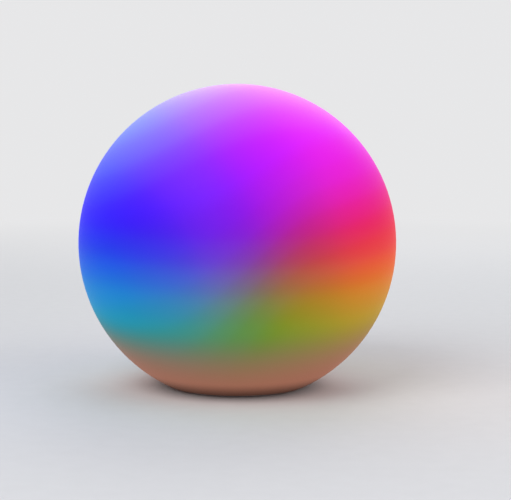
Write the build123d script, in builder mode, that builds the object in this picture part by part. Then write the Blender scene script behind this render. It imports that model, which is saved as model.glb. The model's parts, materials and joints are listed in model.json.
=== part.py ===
"""Solar globe light: a translucent moulded globe on a sealed light module."""

import math
import os

from build123d import *

os.makedirs("parts", exist_ok=True)

# Globe
globe_diameter = 300.0
globe_wall = 2.5
foot_ring_radius = 66.0
rim_width = 4.5
rim_round = 8.0
recess_round = 0.8
shell_floor = 3.0
foot_height = 1.5

# Light module housing
housing_radius = 43.5
housing_wall = 2.5
housing_height = 52.5
flange_web = 1.5
cover_overlap = 4.5
flange_round = 0.8
post_radius = 4.0
post_inset = 3.3
post_angles = (60.0, 120.0, 240.0, 300.0)

# Flat layers between the module and the globe
cover_thickness = 3.2
gasket_thickness = 0.8
gasket_edge = 0.8
deck_gasket_edge = 0.3
seal_thickness = 1.0
seal_width = 3.8
ring_flange_thickness = 2.5

# Bayonet
bayonet_gap = 0.4
lug_depth = 2.8
lug_height = 3.0
lug_span = 40.0
lug_gap = 0.3
lug_count = 3
ring_lug_span = 44.0
ring_lug_rise = 6.0
ring_collar_wall = 2.7
collar_lip = 1.2
lock_turn = 45.0
stop_span = 5.0
stop_gap = 1.0

# Clearances
fit_gap = 0.3
slide_gap = 0.1

# Screws and inserts
screw_radius = 1.5
screw_hole_gap = 0.2
pan_head_radius = 2.8
pan_head_height = 1.8
head_sink = 0.2
screw_grip = 9.0
screw_tip_gap = 1.0
ring_screw_count = 4
ring_screw_inset = 4.5
sink_head_radius = 2.75
insert_radius = 3.0
insert_length = 8.0
insert_groove_width = 1.6
insert_groove_depth = 0.4
boss_wall = 2.5
boss_cap = 3.0
small_screw_radius = 1.0
small_head_radius = 1.9
small_head_height = 1.3
small_screw_grip = 5.0

# Feet and finger recesses
foot_radius = 5.0
foot_seat_depth = 1.0
foot_edge_round = 0.5
foot_count = 4
foot_start_angle = 45.0
finger_recess_width = 7.0
finger_recess_depth = 3.0
finger_recess_span = 36.0
finger_recess_angles = (90.0, 270.0)

# Spike socket
spike_radius = 9.0
spike_depth = 24.5
spike_wall = 2.5
spike_cap = 2.0
spike_mouth_chamfer = 1.0

# Button
button_radius = 6.0
button_offset = 26.0
button_recess = 0.7
button_travel = 1.5
button_guide_height = 6.3
button_guide_wall = 2.0
button_flange_height = 1.0
button_flange_overhang = 1.3
button_dish_depth = 0.5
button_ring_section = 1.8
button_ring_rise = 5.8

# Push switch
switch_size = 8.0
switch_height = 7.0
plunger_size = 3.0
plunger_rise = 3.0
plunger_depth = 3.0
plunger_room = 1.0
board_thickness = 1.6
switch_board_width = 12.0
switch_post_radius = 2.2
switch_post_merge = 0.5
switch_board_margin = 2.6

# Cells and tray
cell_radius = 7.0
cell_length = 49.3
nub_radius = 2.75
nub_length = 1.2
cell_offset = 21.5
cell_round = 0.6
cell_floor_gap = 1.8
cell_gap = 0.2
tray_wall = 1.4
tray_roof = 3.3
tray_end_wall = 2.5
tray_skirt = 4.5
tray_ear_width = 10.0
tray_boss_height = 12.0
cradle_width = 11.0
cradle_thickness = 1.6
cradle_height = 2.8
cradle_spacing = 26.0
contact_thickness = 0.5
contact_width = 9.0
contact_height = 11.0
tab_width = 3.0
tab_rise = 2.0
link_width = 3.0

# Control board
board_standoff = 8.4
board_edge_gap = 2.5
board_boss_radius = 3.2
board_boss_circle = 22.0
board_boss_angles = (90.0, 210.0, 330.0)
chip_length = 10.0
chip_width = 7.0
chip_height = 1.8
chip_bevel = 0.4
chip_place = (-9.0, 8.0)
coil_radius = 4.5
coil_height = 5.5
coil_waist = 0.9
coil_cheek = 1.0
coil_place = (11.0, 8.0)
capacitor_radius = 4.0
capacitor_height = 7.0
capacitor_round = 0.6
capacitor_place = (0.0, -18.0)

# Deck, LED ring and solar panel
deck_thickness = 3.0
deck_round = 1.2
pedestal_height = 5.0
pedestal_wall = 2.0
pedestal_round = 0.8
panel_radius = 27.5
panel_thickness = 1.6
panel_seat_depth = 3.0
cell_film = 0.3
window_thickness = 1.0
panel_margin = 1.5
strip_count = 6
strip_gap = 0.6
led_board_gap = 0.6
led_board_edge = 1.2
led_size = 5.0
led_height = 1.6
led_cup_radius = 2.1
led_cup_depth = 0.5
led_places = 24
led_circle = 36.0
led_screw_gap = 1.0

# Insulated leads
lead_radius = 0.7
lead_hole_gap = 0.5
lead_pitch = 3.0
lead_count = 4
panel_lead_offset = 5.0
switch_lead_offset = 3.5
lead_sway = 2.5
bend_share = 0.45

# Levels above the ground
under_z = foot_height
cover_top_z = under_z + cover_thickness
rebate_z = cover_top_z + gasket_thickness
flange_top_z = rebate_z + flange_web
seal_top_z = flange_top_z + seal_thickness
recess_z = seal_top_z + ring_flange_thickness
floor_z = recess_z + shell_floor
ring_lug_z = seal_top_z + ring_lug_rise
ring_lug_top_z = ring_lug_z + lug_height
lug_z = ring_lug_top_z + lug_gap
collar_top_z = lug_z + lug_height + collar_lip
deck_z = under_z + housing_height
wall_top_z = deck_z - gasket_thickness
deck_top_z = deck_z + deck_thickness
led_board_top_z = deck_top_z + board_thickness
pedestal_top_z = deck_top_z + pedestal_height
panel_z = pedestal_top_z - panel_seat_depth
panel_top_z = panel_z + panel_thickness
board_top_z = deck_z - board_standoff
board_z = board_top_z - board_thickness
guide_top_z = cover_top_z + button_guide_height
button_top_z = guide_top_z + button_flange_height
switch_z = button_top_z + plunger_rise
switch_board_z = switch_z + switch_height
switch_board_top_z = switch_board_z + board_thickness
cell_z = cover_top_z + cell_floor_gap + cell_radius
tray_top_z = cell_z + cell_radius + cell_gap + tray_roof
tray_z = cell_z - tray_skirt
plate_z = tray_top_z - tray_roof

# Radii and places that follow from the sizes above
globe_radius = globe_diameter / 2
inner_radius = globe_radius - globe_wall
globe_centre_z = under_z + math.sqrt(globe_radius**2 - foot_ring_radius**2)
floor_edge_radius = math.sqrt(inner_radius**2 - (globe_centre_z - floor_z) ** 2)
bore_radius = housing_radius - housing_wall
cover_radius = housing_radius + cover_overlap
rebate_radius = cover_radius + fit_gap
ring_lug_radius = housing_radius + bayonet_gap
lug_radius = housing_radius + lug_depth
ring_bore = lug_radius + bayonet_gap
collar_radius = ring_bore + ring_collar_wall
opening_radius = collar_radius + fit_gap
seal_inner_radius = opening_radius + fit_gap
recess_radius = foot_ring_radius - rim_width
flange_radius = recess_radius - fit_gap
ring_screw_circle = max(recess_radius - ring_screw_inset, opening_radius + insert_radius)
foot_circle = (rebate_radius + flange_radius) / 2
foot_seat_radius = foot_radius + slide_gap
spike_tube_radius = spike_radius + spike_wall
post_circle = bore_radius - post_inset
post_places = [
    (post_circle * math.cos(math.radians(angle)), post_circle * math.sin(math.radians(angle)))
    for angle in post_angles
]
gasket_inner = post_circle + post_radius + slide_gap
head_seat_z = under_z + pan_head_height + head_sink
clear_hole = screw_radius + screw_hole_gap
small_clear_hole = small_screw_radius + screw_hole_gap
guide_bore = button_radius + fit_gap
guide_radius = guide_bore + button_guide_wall
button_place = (0.0, -button_offset)
switch_post_offset = guide_radius + switch_post_radius - switch_post_merge
switch_post_places = [(0.0, side * switch_post_offset - button_offset) for side in (-1, 1)]
switch_board_length = 2 * (switch_post_offset + switch_board_margin)
cell_half_length = (cell_length + nub_length) / 2
contact_face = cell_half_length + contact_thickness
tray_cavity_radius = cell_radius + cell_gap
tray_half_width = tray_cavity_radius + tray_wall
tray_half_length = contact_face + tray_end_wall
tray_outline_radius = bore_radius - fit_gap
tray_screw_places = [(-post_circle, 0.0), (post_circle, 0.0)]
board_boss_places = [
    (board_boss_circle * math.cos(math.radians(angle)), board_boss_circle * math.sin(math.radians(angle)))
    for angle in board_boss_angles
]
pedestal_radius = panel_radius + fit_gap + pedestal_wall
led_board_inner = pedestal_radius + led_board_gap
led_board_outer = housing_radius - led_board_edge
lug_angles = [180.0 / lug_count + index * 360.0 / lug_count for index in range(lug_count)]
ring_lug_angles = [index * 360.0 / lug_count for index in range(lug_count)]
stop_angles = [
    angle + lock_turn + (lug_span + stop_span) / 2 + stop_gap for angle in lug_angles
]


def sector_faces(level, inner, outer, middles, span):
    """Ring sectors at one level, each span degrees wide about its middle angle."""
    with BuildSketch(Plane.XY.offset(level)) as sectors:
        for middle in middles:
            with BuildLine():
                outer_arc = CenterArc((0, 0), outer, middle - span / 2, span)
                inner_arc = CenterArc((0, 0), inner, middle - span / 2, span)
                Line(outer_arc @ 0, inner_arc @ 0)
                Line(outer_arc @ 1, inner_arc @ 1)
            make_face()
    return sectors.sketch


def ring_face(level, inner, outer):
    """A flat ring at one level."""
    with BuildSketch(Plane.XY.offset(level)) as ring:
        Circle(outer)
        Circle(inner, mode=Mode.SUBTRACT)
    return ring.sketch


def circle_faces(level, places, radius):
    """Equal circles at one level."""
    with BuildSketch(Plane.XY.offset(level)) as circles:
        with Locations(*places):
            Circle(radius)
    return circles.sketch


def pan_screw(head_radius, head_height, shank_radius, shank_length):
    """A pan-head screw that points up, with the underside of its head at zero."""
    with BuildPart() as screw:
        Cylinder(head_radius, head_height, align=(Align.CENTER, Align.CENTER, Align.MAX))
        fillet(screw.edges().group_by(Axis.Z)[0], head_height / 3)
        Cylinder(shank_radius, shank_length, align=(Align.CENTER, Align.CENTER, Align.MIN))
    return screw.part


def countersunk_screw(head_radius, shank_radius, length):
    """A countersunk screw that points up, with its flat head face at zero."""
    head_depth = head_radius - shank_radius
    with BuildPart() as screw:
        with BuildSketch(Plane.XZ):
            with BuildLine():
                Polyline(
                    (0, 0),
                    (head_radius, 0),
                    (shank_radius, head_depth),
                    (shank_radius, length),
                    (0, length),
                    close=True,
                )
            make_face()
        revolve(axis=Axis.Z)
    return screw.part


def dry_cell():
    """One cell along +Z, centred on its overall length, with the nub at its upper end."""
    with BuildPart() as cell:
        with Locations((0, 0, -cell_half_length)):
            Cylinder(cell_radius, cell_length, align=(Align.CENTER, Align.CENTER, Align.MIN))
        fillet(cell.edges(), cell_round)
        with Locations((0, 0, cell_half_length)):
            Cylinder(nub_radius, nub_length, align=(Align.CENTER, Align.CENTER, Align.MAX))
    return cell.part


def swayed_lead(start, end):
    """An insulated lead that rises from start to end with one easy bend each way."""
    run = (end[2] - start[2]) / 3
    low = (start[0], start[1], start[2] + run)
    high = (end[0], end[1], end[2] - run)
    turn = math.atan2(math.dist(start[:2], end[:2]), run)
    bend_radius = bend_share * run / math.tan(turn / 2)
    with BuildPart() as wire:
        with BuildLine():
            FilletPolyline(start, low, high, end, radius=bend_radius)
        with BuildSketch(Plane(origin=start, z_dir=(0, 0, 1))):
            Circle(lead_radius)
        sweep()
    print(f"lead bends: radius {bend_radius:.1f} mm, lead diameter {2 * lead_radius:.1f} mm")
    return wire.part


# Globe: round wall, flat rim to stand over the feet, recessed floor with the neck opening
rim_angle = math.degrees(math.atan2(under_z - globe_centre_z, foot_ring_radius))
floor_angle = math.degrees(math.atan2(floor_z - globe_centre_z, floor_edge_radius))
boss_radius = insert_radius + boss_wall
boss_height = insert_length + boss_cap - shell_floor
with BuildPart() as globe_shell:
    with BuildSketch(Plane.XZ):
        with BuildLine():
            outer_wall = CenterArc((0, globe_centre_z), globe_radius, rim_angle, 90 - rim_angle)
            inner_wall = CenterArc((0, globe_centre_z), inner_radius, floor_angle, 90 - floor_angle)
            Line(outer_wall @ 1, inner_wall @ 1)
            Polyline(
                inner_wall @ 0,
                (opening_radius, floor_z),
                (opening_radius, recess_z),
                (recess_radius, recess_z),
                (recess_radius, under_z),
                outer_wall @ 0,
            )
        make_face()
    revolve(axis=Axis.Z)
    rim_edges = globe_shell.edges().filter_by(GeomType.CIRCLE).group_by(Axis.Z)[0]
    fillet(rim_edges.sort_by(SortBy.RADIUS)[0], recess_round)
    rim_edges = globe_shell.edges().filter_by(GeomType.CIRCLE).group_by(Axis.Z)[0]
    fillet(rim_edges.sort_by(SortBy.RADIUS)[-1], rim_round)
    with BuildSketch(Plane.XY.offset(floor_z)):
        with PolarLocations(ring_screw_circle, ring_screw_count):
            Circle(boss_radius)
        Circle(opening_radius, mode=Mode.SUBTRACT)
    extrude(amount=boss_height)
    with BuildSketch(Plane.XY.offset(recess_z)):
        with PolarLocations(ring_screw_circle, ring_screw_count):
            Circle(insert_radius)
    extrude(amount=insert_length, mode=Mode.SUBTRACT)
globe_shell.part.label = "globe_shell"
export_step(globe_shell.part, "parts/globe_shell.step")

# Threaded inserts moulded into the bosses, each with a groove that keys it into the plastic
groove_z = recess_z + (insert_length - insert_groove_width) / 2
with BuildPart() as brass_inserts:
    with BuildSketch(Plane.XY.offset(recess_z)):
        with PolarLocations(ring_screw_circle, ring_screw_count):
            Circle(insert_radius)
            Circle(screw_radius, mode=Mode.SUBTRACT)
    extrude(amount=insert_length)
    with BuildSketch(Plane.XY.offset(groove_z)):
        with PolarLocations(ring_screw_circle, ring_screw_count):
            Circle(insert_radius)
        with PolarLocations(ring_screw_circle, ring_screw_count):
            Circle(insert_radius - insert_groove_depth, mode=Mode.SUBTRACT)
    extrude(amount=insert_groove_width, mode=Mode.SUBTRACT)
brass_inserts.part.label = "brass_inserts"
export_step(brass_inserts.part, "parts/brass_inserts.step")

# Neck ring: flange under the globe's floor, collar through its opening, lugs and stops inside
with BuildPart() as neck_ring:
    with BuildSketch(Plane.XZ):
        with BuildLine():
            Polyline(
                (ring_bore, seal_top_z),
                (flange_radius, seal_top_z),
                (flange_radius, recess_z),
                (collar_radius, recess_z),
                (collar_radius, collar_top_z),
                (ring_bore, collar_top_z),
                close=True,
            )
        make_face()
    revolve(axis=Axis.Z)
    collar_middle = (ring_bore + collar_radius) / 2
    extrude(
        sector_faces(ring_lug_z, ring_lug_radius, collar_middle, ring_lug_angles, ring_lug_span),
        amount=lug_height,
    )
    extrude(
        sector_faces(ring_lug_top_z, ring_lug_radius, collar_middle, stop_angles, stop_span),
        amount=collar_top_z - ring_lug_top_z,
    )
    with Locations(Plane(origin=(0, 0, seal_top_z), z_dir=(0, 0, -1))):
        with PolarLocations(ring_screw_circle, ring_screw_count):
            CounterSinkHole(
                radius=screw_radius,
                counter_sink_radius=sink_head_radius,
                depth=ring_flange_thickness,
                counter_sink_angle=90,
            )
neck_ring.part.label = "neck_ring"
export_step(neck_ring.part, "parts/neck_ring.step")

ring_screw_length = ring_flange_thickness + insert_length - screw_tip_gap
ring_screw = countersunk_screw(sink_head_radius, screw_radius, ring_screw_length)
with BuildPart() as ring_screws:
    with Locations((0, 0, seal_top_z)):
        with PolarLocations(ring_screw_circle, ring_screw_count):
            add(ring_screw)
ring_screws.part.label = "ring_screws"
export_step(ring_screws.part, "parts/ring_screws.step")

# Silicone ring that the globe's neck ring sits on
with BuildPart() as neck_seal:
    extrude(
        ring_face(flange_top_z, seal_inner_radius, seal_inner_radius + seal_width),
        amount=seal_thickness,
    )
neck_seal.part.label = "neck_seal"
export_step(neck_seal.part, "parts/neck_seal.step")

# Housing of the light module: flange with a rebate for the cover, wall, lugs, posts and seats
with BuildPart() as base_housing:
    with BuildSketch(Plane.XZ):
        with BuildLine():
            Polyline(
                (bore_radius, rebate_z),
                (rebate_radius, rebate_z),
                (rebate_radius, under_z),
                (flange_radius, under_z),
                (flange_radius, flange_top_z),
                (housing_radius, flange_top_z),
                (housing_radius, wall_top_z),
                (bore_radius, wall_top_z),
                close=True,
            )
        make_face()
    revolve(axis=Axis.Z)
    flange_edges = base_housing.edges().filter_by(GeomType.CIRCLE).sort_by(SortBy.RADIUS)[-2:]
    fillet(flange_edges.sort_by(Axis.Z)[0], flange_round)
    extrude(
        sector_faces(lug_z, bore_radius + housing_wall / 2, lug_radius, lug_angles, lug_span),
        amount=lug_height,
    )
    extrude(circle_faces(cover_top_z, post_places, post_radius), amount=deck_z - cover_top_z)
    extrude(circle_faces(tray_top_z, tray_screw_places, post_radius), amount=tray_boss_height)
    extrude(circle_faces(cover_top_z, post_places, screw_radius), amount=screw_grip, mode=Mode.SUBTRACT)
    extrude(circle_faces(deck_z, post_places, screw_radius), amount=-screw_grip, mode=Mode.SUBTRACT)
    extrude(
        circle_faces(tray_top_z, tray_screw_places, screw_radius),
        amount=screw_grip,
        mode=Mode.SUBTRACT,
    )
    with BuildSketch(Plane.XY.offset(under_z)):
        with PolarLocations(foot_circle, foot_count, start_angle=foot_start_angle):
            Circle(foot_seat_radius)
    extrude(amount=foot_seat_depth, mode=Mode.SUBTRACT)
    with BuildSketch(Plane.XY.offset(under_z)):
        for middle in finger_recess_angles:
            first = middle - finger_recess_span / 2
            last = middle + finger_recess_span / 2
            recess_line = Edge.make_circle(foot_circle, start_angle=first, end_angle=last)
            SlotArc(recess_line, finger_recess_width)
    extrude(amount=finger_recess_depth, mode=Mode.SUBTRACT)
base_housing.part.label = "base_housing"
export_step(base_housing.part, "parts/base_housing.step")

with BuildPart() as rubber_feet:
    with BuildSketch(Plane.XY):
        with PolarLocations(foot_circle, foot_count, start_angle=foot_start_angle):
            Circle(foot_radius)
    extrude(amount=foot_height + foot_seat_depth)
    fillet(rubber_feet.edges().group_by(Axis.Z)[0], foot_edge_round)
rubber_feet.part.label = "rubber_feet"
export_step(rubber_feet.part, "parts/rubber_feet.step")

# Bottom cover: blind spike socket, button guide, posts for the switch board, cell cradles
with BuildPart() as bottom_cover:
    extrude(circle_faces(under_z, [(0, 0)], cover_radius), amount=cover_thickness)
    extrude(
        circle_faces(cover_top_z, [(0, 0)], spike_tube_radius),
        amount=spike_depth + spike_cap - cover_thickness,
    )
    extrude(circle_faces(cover_top_z, [button_place], guide_radius), amount=button_guide_height)
    extrude(
        circle_faces(cover_top_z, switch_post_places, switch_post_radius),
        amount=switch_board_z - cover_top_z,
    )
    with Locations((0, 0, cover_top_z)):
        with GridLocations(2 * cell_offset, cradle_spacing, 2, 2):
            Box(
                cradle_width,
                cradle_thickness,
                cradle_height,
                align=(Align.CENTER, Align.CENTER, Align.MIN),
            )
    with Locations((-cell_offset, 0, cell_z), (cell_offset, 0, cell_z)):
        Cylinder(tray_cavity_radius, cell_length, rotation=(90, 0, 0), mode=Mode.SUBTRACT)
    extrude(circle_faces(under_z, [(0, 0)], spike_radius), amount=spike_depth, mode=Mode.SUBTRACT)
    extrude(
        circle_faces(under_z, [button_place], guide_bore),
        amount=cover_thickness + button_guide_height,
        mode=Mode.SUBTRACT,
    )
    extrude(
        circle_faces(switch_board_z, switch_post_places, small_screw_radius),
        amount=-small_screw_grip,
        mode=Mode.SUBTRACT,
    )
    mouth_edges = bottom_cover.edges().filter_by(GeomType.CIRCLE).group_by(Axis.Z)[0]
    chamfer(mouth_edges.sort_by(SortBy.RADIUS)[-2], spike_mouth_chamfer)
    with Locations(Plane(origin=(0, 0, under_z), z_dir=(0, 0, -1))):
        with Locations(*post_places):
            CounterBoreHole(
                radius=clear_hole,
                counter_bore_radius=pan_head_radius + fit_gap,
                counter_bore_depth=head_seat_z - under_z,
                depth=cover_thickness,
            )
bottom_cover.part.label = "bottom_cover"
export_step(bottom_cover.part, "parts/bottom_cover.step")

with BuildPart() as cover_gasket:
    extrude(ring_face(cover_top_z, gasket_inner, cover_radius - gasket_edge), amount=gasket_thickness)
cover_gasket.part.label = "cover_gasket"
export_step(cover_gasket.part, "parts/cover_gasket.step")

cover_screw_length = cover_top_z - head_seat_z + screw_grip - screw_tip_gap
cover_screw = pan_screw(pan_head_radius, pan_head_height, screw_radius, cover_screw_length)
with BuildPart() as cover_screws:
    with Locations((0, 0, head_seat_z)):
        with Locations(*post_places):
            add(cover_screw)
cover_screws.part.label = "cover_screws"
export_step(cover_screws.part, "parts/cover_screws.step")

# Button: dished cap that slides in its guide, groove for its seal, flange that keeps it in
ring_groove_radius = guide_bore - slide_gap - button_ring_section
ring_centre_radius = ring_groove_radius + button_ring_section / 2
ring_centre_z = cover_top_z + button_ring_rise - button_ring_section
button_z = under_z + button_recess
button_flange_radius = button_radius + button_flange_overhang
groove_half = button_ring_section / 2
button_axis = Axis((*button_place, 0), (0, 0, 1))
with BuildPart() as mode_button:
    with BuildSketch(Plane(origin=(*button_place, 0), x_dir=(1, 0, 0), z_dir=(0, -1, 0))):
        with BuildLine():
            dish = ThreePointArc(
                (0, button_z + button_dish_depth),
                (button_radius / 2, button_z + button_dish_depth * 0.75),
                (button_radius, button_z),
            )
            Polyline(
                dish @ 1,
                (button_radius, ring_centre_z - groove_half),
                (ring_groove_radius, ring_centre_z - groove_half),
                (ring_groove_radius, ring_centre_z + groove_half),
                (button_radius, ring_centre_z + groove_half),
                (button_radius, guide_top_z),
                (button_flange_radius, guide_top_z),
                (button_flange_radius, button_top_z),
                (0, button_top_z),
                dish @ 0,
            )
        make_face()
    revolve(axis=button_axis)
mode_button.part.label = "mode_button"
export_step(mode_button.part, "parts/mode_button.step")

with BuildPart() as button_seal:
    with Locations((*button_place, ring_centre_z)):
        Torus(ring_centre_radius, button_ring_section / 2)
button_seal.part.label = "button_seal"
export_step(button_seal.part, "parts/button_seal.step")

with BuildPart() as switch_plunger:
    with Locations((*button_place, button_top_z)):
        Box(
            plunger_size,
            plunger_size,
            plunger_rise + plunger_depth,
            align=(Align.CENTER, Align.CENTER, Align.MIN),
        )
switch_plunger.part.label = "switch_plunger"
export_step(switch_plunger.part, "parts/switch_plunger.step")

# Switch with the slot that its plunger slides in
plunger_slot = plunger_size + 2 * slide_gap
with BuildPart() as push_switch:
    with Locations((*button_place, switch_z)):
        Box(switch_size, switch_size, switch_height, align=(Align.CENTER, Align.CENTER, Align.MIN))
        Box(
            plunger_slot,
            plunger_slot,
            plunger_depth + button_travel + plunger_room,
            align=(Align.CENTER, Align.CENTER, Align.MIN),
            mode=Mode.SUBTRACT,
        )
push_switch.part.label = "push_switch"
export_step(push_switch.part, "parts/push_switch.step")

with BuildPart() as switch_board:
    with BuildSketch(Plane.XY.offset(switch_board_z)):
        with Locations(button_place):
            Rectangle(switch_board_width, switch_board_length)
        with Locations(*switch_post_places):
            Circle(small_clear_hole, mode=Mode.SUBTRACT)
    extrude(amount=board_thickness)
switch_board.part.label = "switch_board"
export_step(switch_board.part, "parts/switch_board.step")

small_screw_length = board_thickness + small_screw_grip - screw_tip_gap
small_screw = pan_screw(small_head_radius, small_head_height, small_screw_radius, small_screw_length)
with BuildPart() as switch_screws:
    for place in switch_post_places:
        with Locations(Location((*place, switch_board_top_z), (180, 0, 0))):
            add(small_screw)
switch_screws.part.label = "switch_screws"
export_step(switch_screws.part, "parts/switch_screws.step")

# Tray: two troughs open below, a bridge behind the spike socket and two ears
bridge_front = spike_tube_radius + tray_wall
bridge_length = tray_half_length - bridge_front
ear_length = tray_outline_radius - cell_offset
tab_y = cell_half_length + contact_thickness / 2
with BuildPart() as battery_tray:
    with BuildSketch(Plane.XY.offset(tray_z)):
        with GridLocations(2 * cell_offset, 0, 2, 1):
            Rectangle(2 * tray_half_width, 2 * tray_half_length)
        Circle(tray_outline_radius, mode=Mode.INTERSECT)
    extrude(amount=tray_top_z - tray_z)
    with BuildSketch(Plane.XY.offset(plate_z)):
        with Locations((0, bridge_front + bridge_length / 2)):
            Rectangle(2 * cell_offset, bridge_length)
        with GridLocations(2 * cell_offset + ear_length, 0, 2, 1):
            Rectangle(ear_length, tray_ear_width)
        Circle(tray_outline_radius, mode=Mode.INTERSECT)
        with Locations(*tray_screw_places):
            Circle(clear_hole, mode=Mode.SUBTRACT)
    extrude(amount=tray_roof)
    with Locations((-cell_offset, 0, cell_z), (cell_offset, 0, cell_z)):
        Cylinder(tray_cavity_radius, 2 * contact_face, rotation=(90, 0, 0), mode=Mode.SUBTRACT)
        Box(
            2 * tray_cavity_radius,
            2 * contact_face,
            tray_skirt,
            align=(Align.CENTER, Align.CENTER, Align.MAX),
            mode=Mode.SUBTRACT,
        )
    with Locations((0, 0, cell_z)):
        with GridLocations(2 * cell_offset, 2 * tab_y, 2, 2):
            Box(
                tab_width + 2 * slide_gap,
                contact_thickness,
                tray_top_z - cell_z,
                align=(Align.CENTER, Align.CENTER, Align.MIN),
                mode=Mode.SUBTRACT,
            )
battery_tray.part.label = "battery_tray"
export_step(battery_tray.part, "parts/battery_tray.step")

tray_screw_length = tray_roof + screw_grip - screw_tip_gap
tray_screw = pan_screw(pan_head_radius, pan_head_height, screw_radius, tray_screw_length)
with BuildPart() as tray_screws:
    with Locations((0, 0, plate_z)):
        with Locations(*tray_screw_places):
            add(tray_screw)
tray_screws.part.label = "tray_screws"
export_step(tray_screws.part, "parts/tray_screws.step")

# Two cells side by side, turned opposite ways
cell = dry_cell()
with BuildPart() as battery_cell_left:
    with Locations(Location((-cell_offset, 0, cell_z), (90, 0, 0))):
        add(cell)
battery_cell_left.part.label = "battery_cell_left"
export_step(battery_cell_left.part, "parts/battery_cell_left.step")

with BuildPart() as battery_cell_right:
    with Locations(Location((cell_offset, 0, cell_z), (-90, 0, 0))):
        add(cell)
battery_cell_right.part.label = "battery_cell_right"
export_step(battery_cell_right.part, "parts/battery_cell_right.step")

# Contact plates with solder tabs in front, and the strip that joins the cells behind
tab_top_z = tray_top_z + tab_rise
with BuildPart() as battery_contacts:
    with Locations((-cell_offset, -tab_y, cell_z), (cell_offset, -tab_y, cell_z)):
        Box(contact_width, contact_thickness, contact_height)
        Box(
            tab_width,
            contact_thickness,
            tab_top_z - cell_z,
            align=(Align.CENTER, Align.CENTER, Align.MIN),
        )
battery_contacts.part.label = "battery_contacts"
export_step(battery_contacts.part, "parts/battery_contacts.step")

with BuildPart() as battery_link:
    with Locations((-cell_offset, tab_y, cell_z), (cell_offset, tab_y, cell_z)):
        Box(contact_width, contact_thickness, contact_height)
        Box(
            tab_width,
            contact_thickness,
            tray_top_z + contact_thickness - cell_z,
            align=(Align.CENTER, Align.CENTER, Align.MIN),
        )
    with Locations((0, tab_y, tray_top_z)):
        Box(
            2 * cell_offset + tab_width,
            link_width,
            contact_thickness,
            align=(Align.CENTER, Align.CENTER, Align.MIN),
        )
battery_link.part.label = "battery_link"
export_step(battery_link.part, "parts/battery_link.step")

cell_wires = [
    swayed_lead(
        (side * cell_offset, -tab_y, tab_top_z),
        (side * (cell_offset - lead_sway), -tab_y + lead_sway, board_z),
    )
    for side in (-1, 1)
]
with BuildPart() as battery_leads:
    for wire in cell_wires:
        add(wire)
battery_leads.part.label = "battery_leads"
export_step(battery_leads.part, "parts/battery_leads.step")

switch_wires = [
    swayed_lead(
        (side * switch_lead_offset, -button_offset, switch_board_top_z),
        (side * (switch_lead_offset + lead_sway), -button_offset, board_z),
    )
    for side in (-1, 1)
]
with BuildPart() as switch_leads:
    for wire in switch_wires:
        add(wire)
switch_leads.part.label = "switch_leads"
export_step(switch_leads.part, "parts/switch_leads.step")

# Control board, hung from the deck and notched round the housing's posts
with BuildPart() as control_board:
    with BuildSketch(Plane.XY.offset(board_z)):
        Circle(bore_radius - board_edge_gap)
        with Locations(*post_places):
            Circle(post_radius + fit_gap, mode=Mode.SUBTRACT)
        with Locations(*board_boss_places):
            Circle(small_clear_hole, mode=Mode.SUBTRACT)
    extrude(amount=board_thickness)
control_board.part.label = "control_board"
export_step(control_board.part, "parts/control_board.step")

with BuildPart() as controller_chip:
    with Locations((*chip_place, board_top_z)):
        Box(chip_length, chip_width, chip_height, align=(Align.CENTER, Align.CENTER, Align.MIN))
    chamfer(controller_chip.edges().group_by(Axis.Z)[-1], chip_bevel)
controller_chip.part.label = "controller_chip"
export_step(controller_chip.part, "parts/controller_chip.step")

with BuildPart() as charge_coil:
    with BuildSketch(Plane.XY.offset(board_top_z)):
        with Locations(coil_place):
            Circle(coil_radius)
    extrude(amount=coil_height)
    with BuildSketch(Plane.XY.offset(board_top_z + coil_cheek)):
        with Locations(coil_place):
            Circle(coil_radius)
            Circle(coil_radius - coil_waist, mode=Mode.SUBTRACT)
    extrude(amount=coil_height - 2 * coil_cheek, mode=Mode.SUBTRACT)
charge_coil.part.label = "charge_coil"
export_step(charge_coil.part, "parts/charge_coil.step")

with BuildPart() as storage_capacitor:
    with Locations((*capacitor_place, board_top_z)):
        Cylinder(capacitor_radius, capacitor_height, align=(Align.CENTER, Align.CENTER, Align.MIN))
    fillet(storage_capacitor.edges().group_by(Axis.Z)[-1], capacitor_round)
storage_capacitor.part.label = "storage_capacitor"
export_step(storage_capacitor.part, "parts/storage_capacitor.step")

with BuildPart() as board_screws:
    with Locations((0, 0, board_z)):
        with Locations(*board_boss_places):
            add(small_screw)
board_screws.part.label = "board_screws"
export_step(board_screws.part, "parts/board_screws.step")

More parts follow.
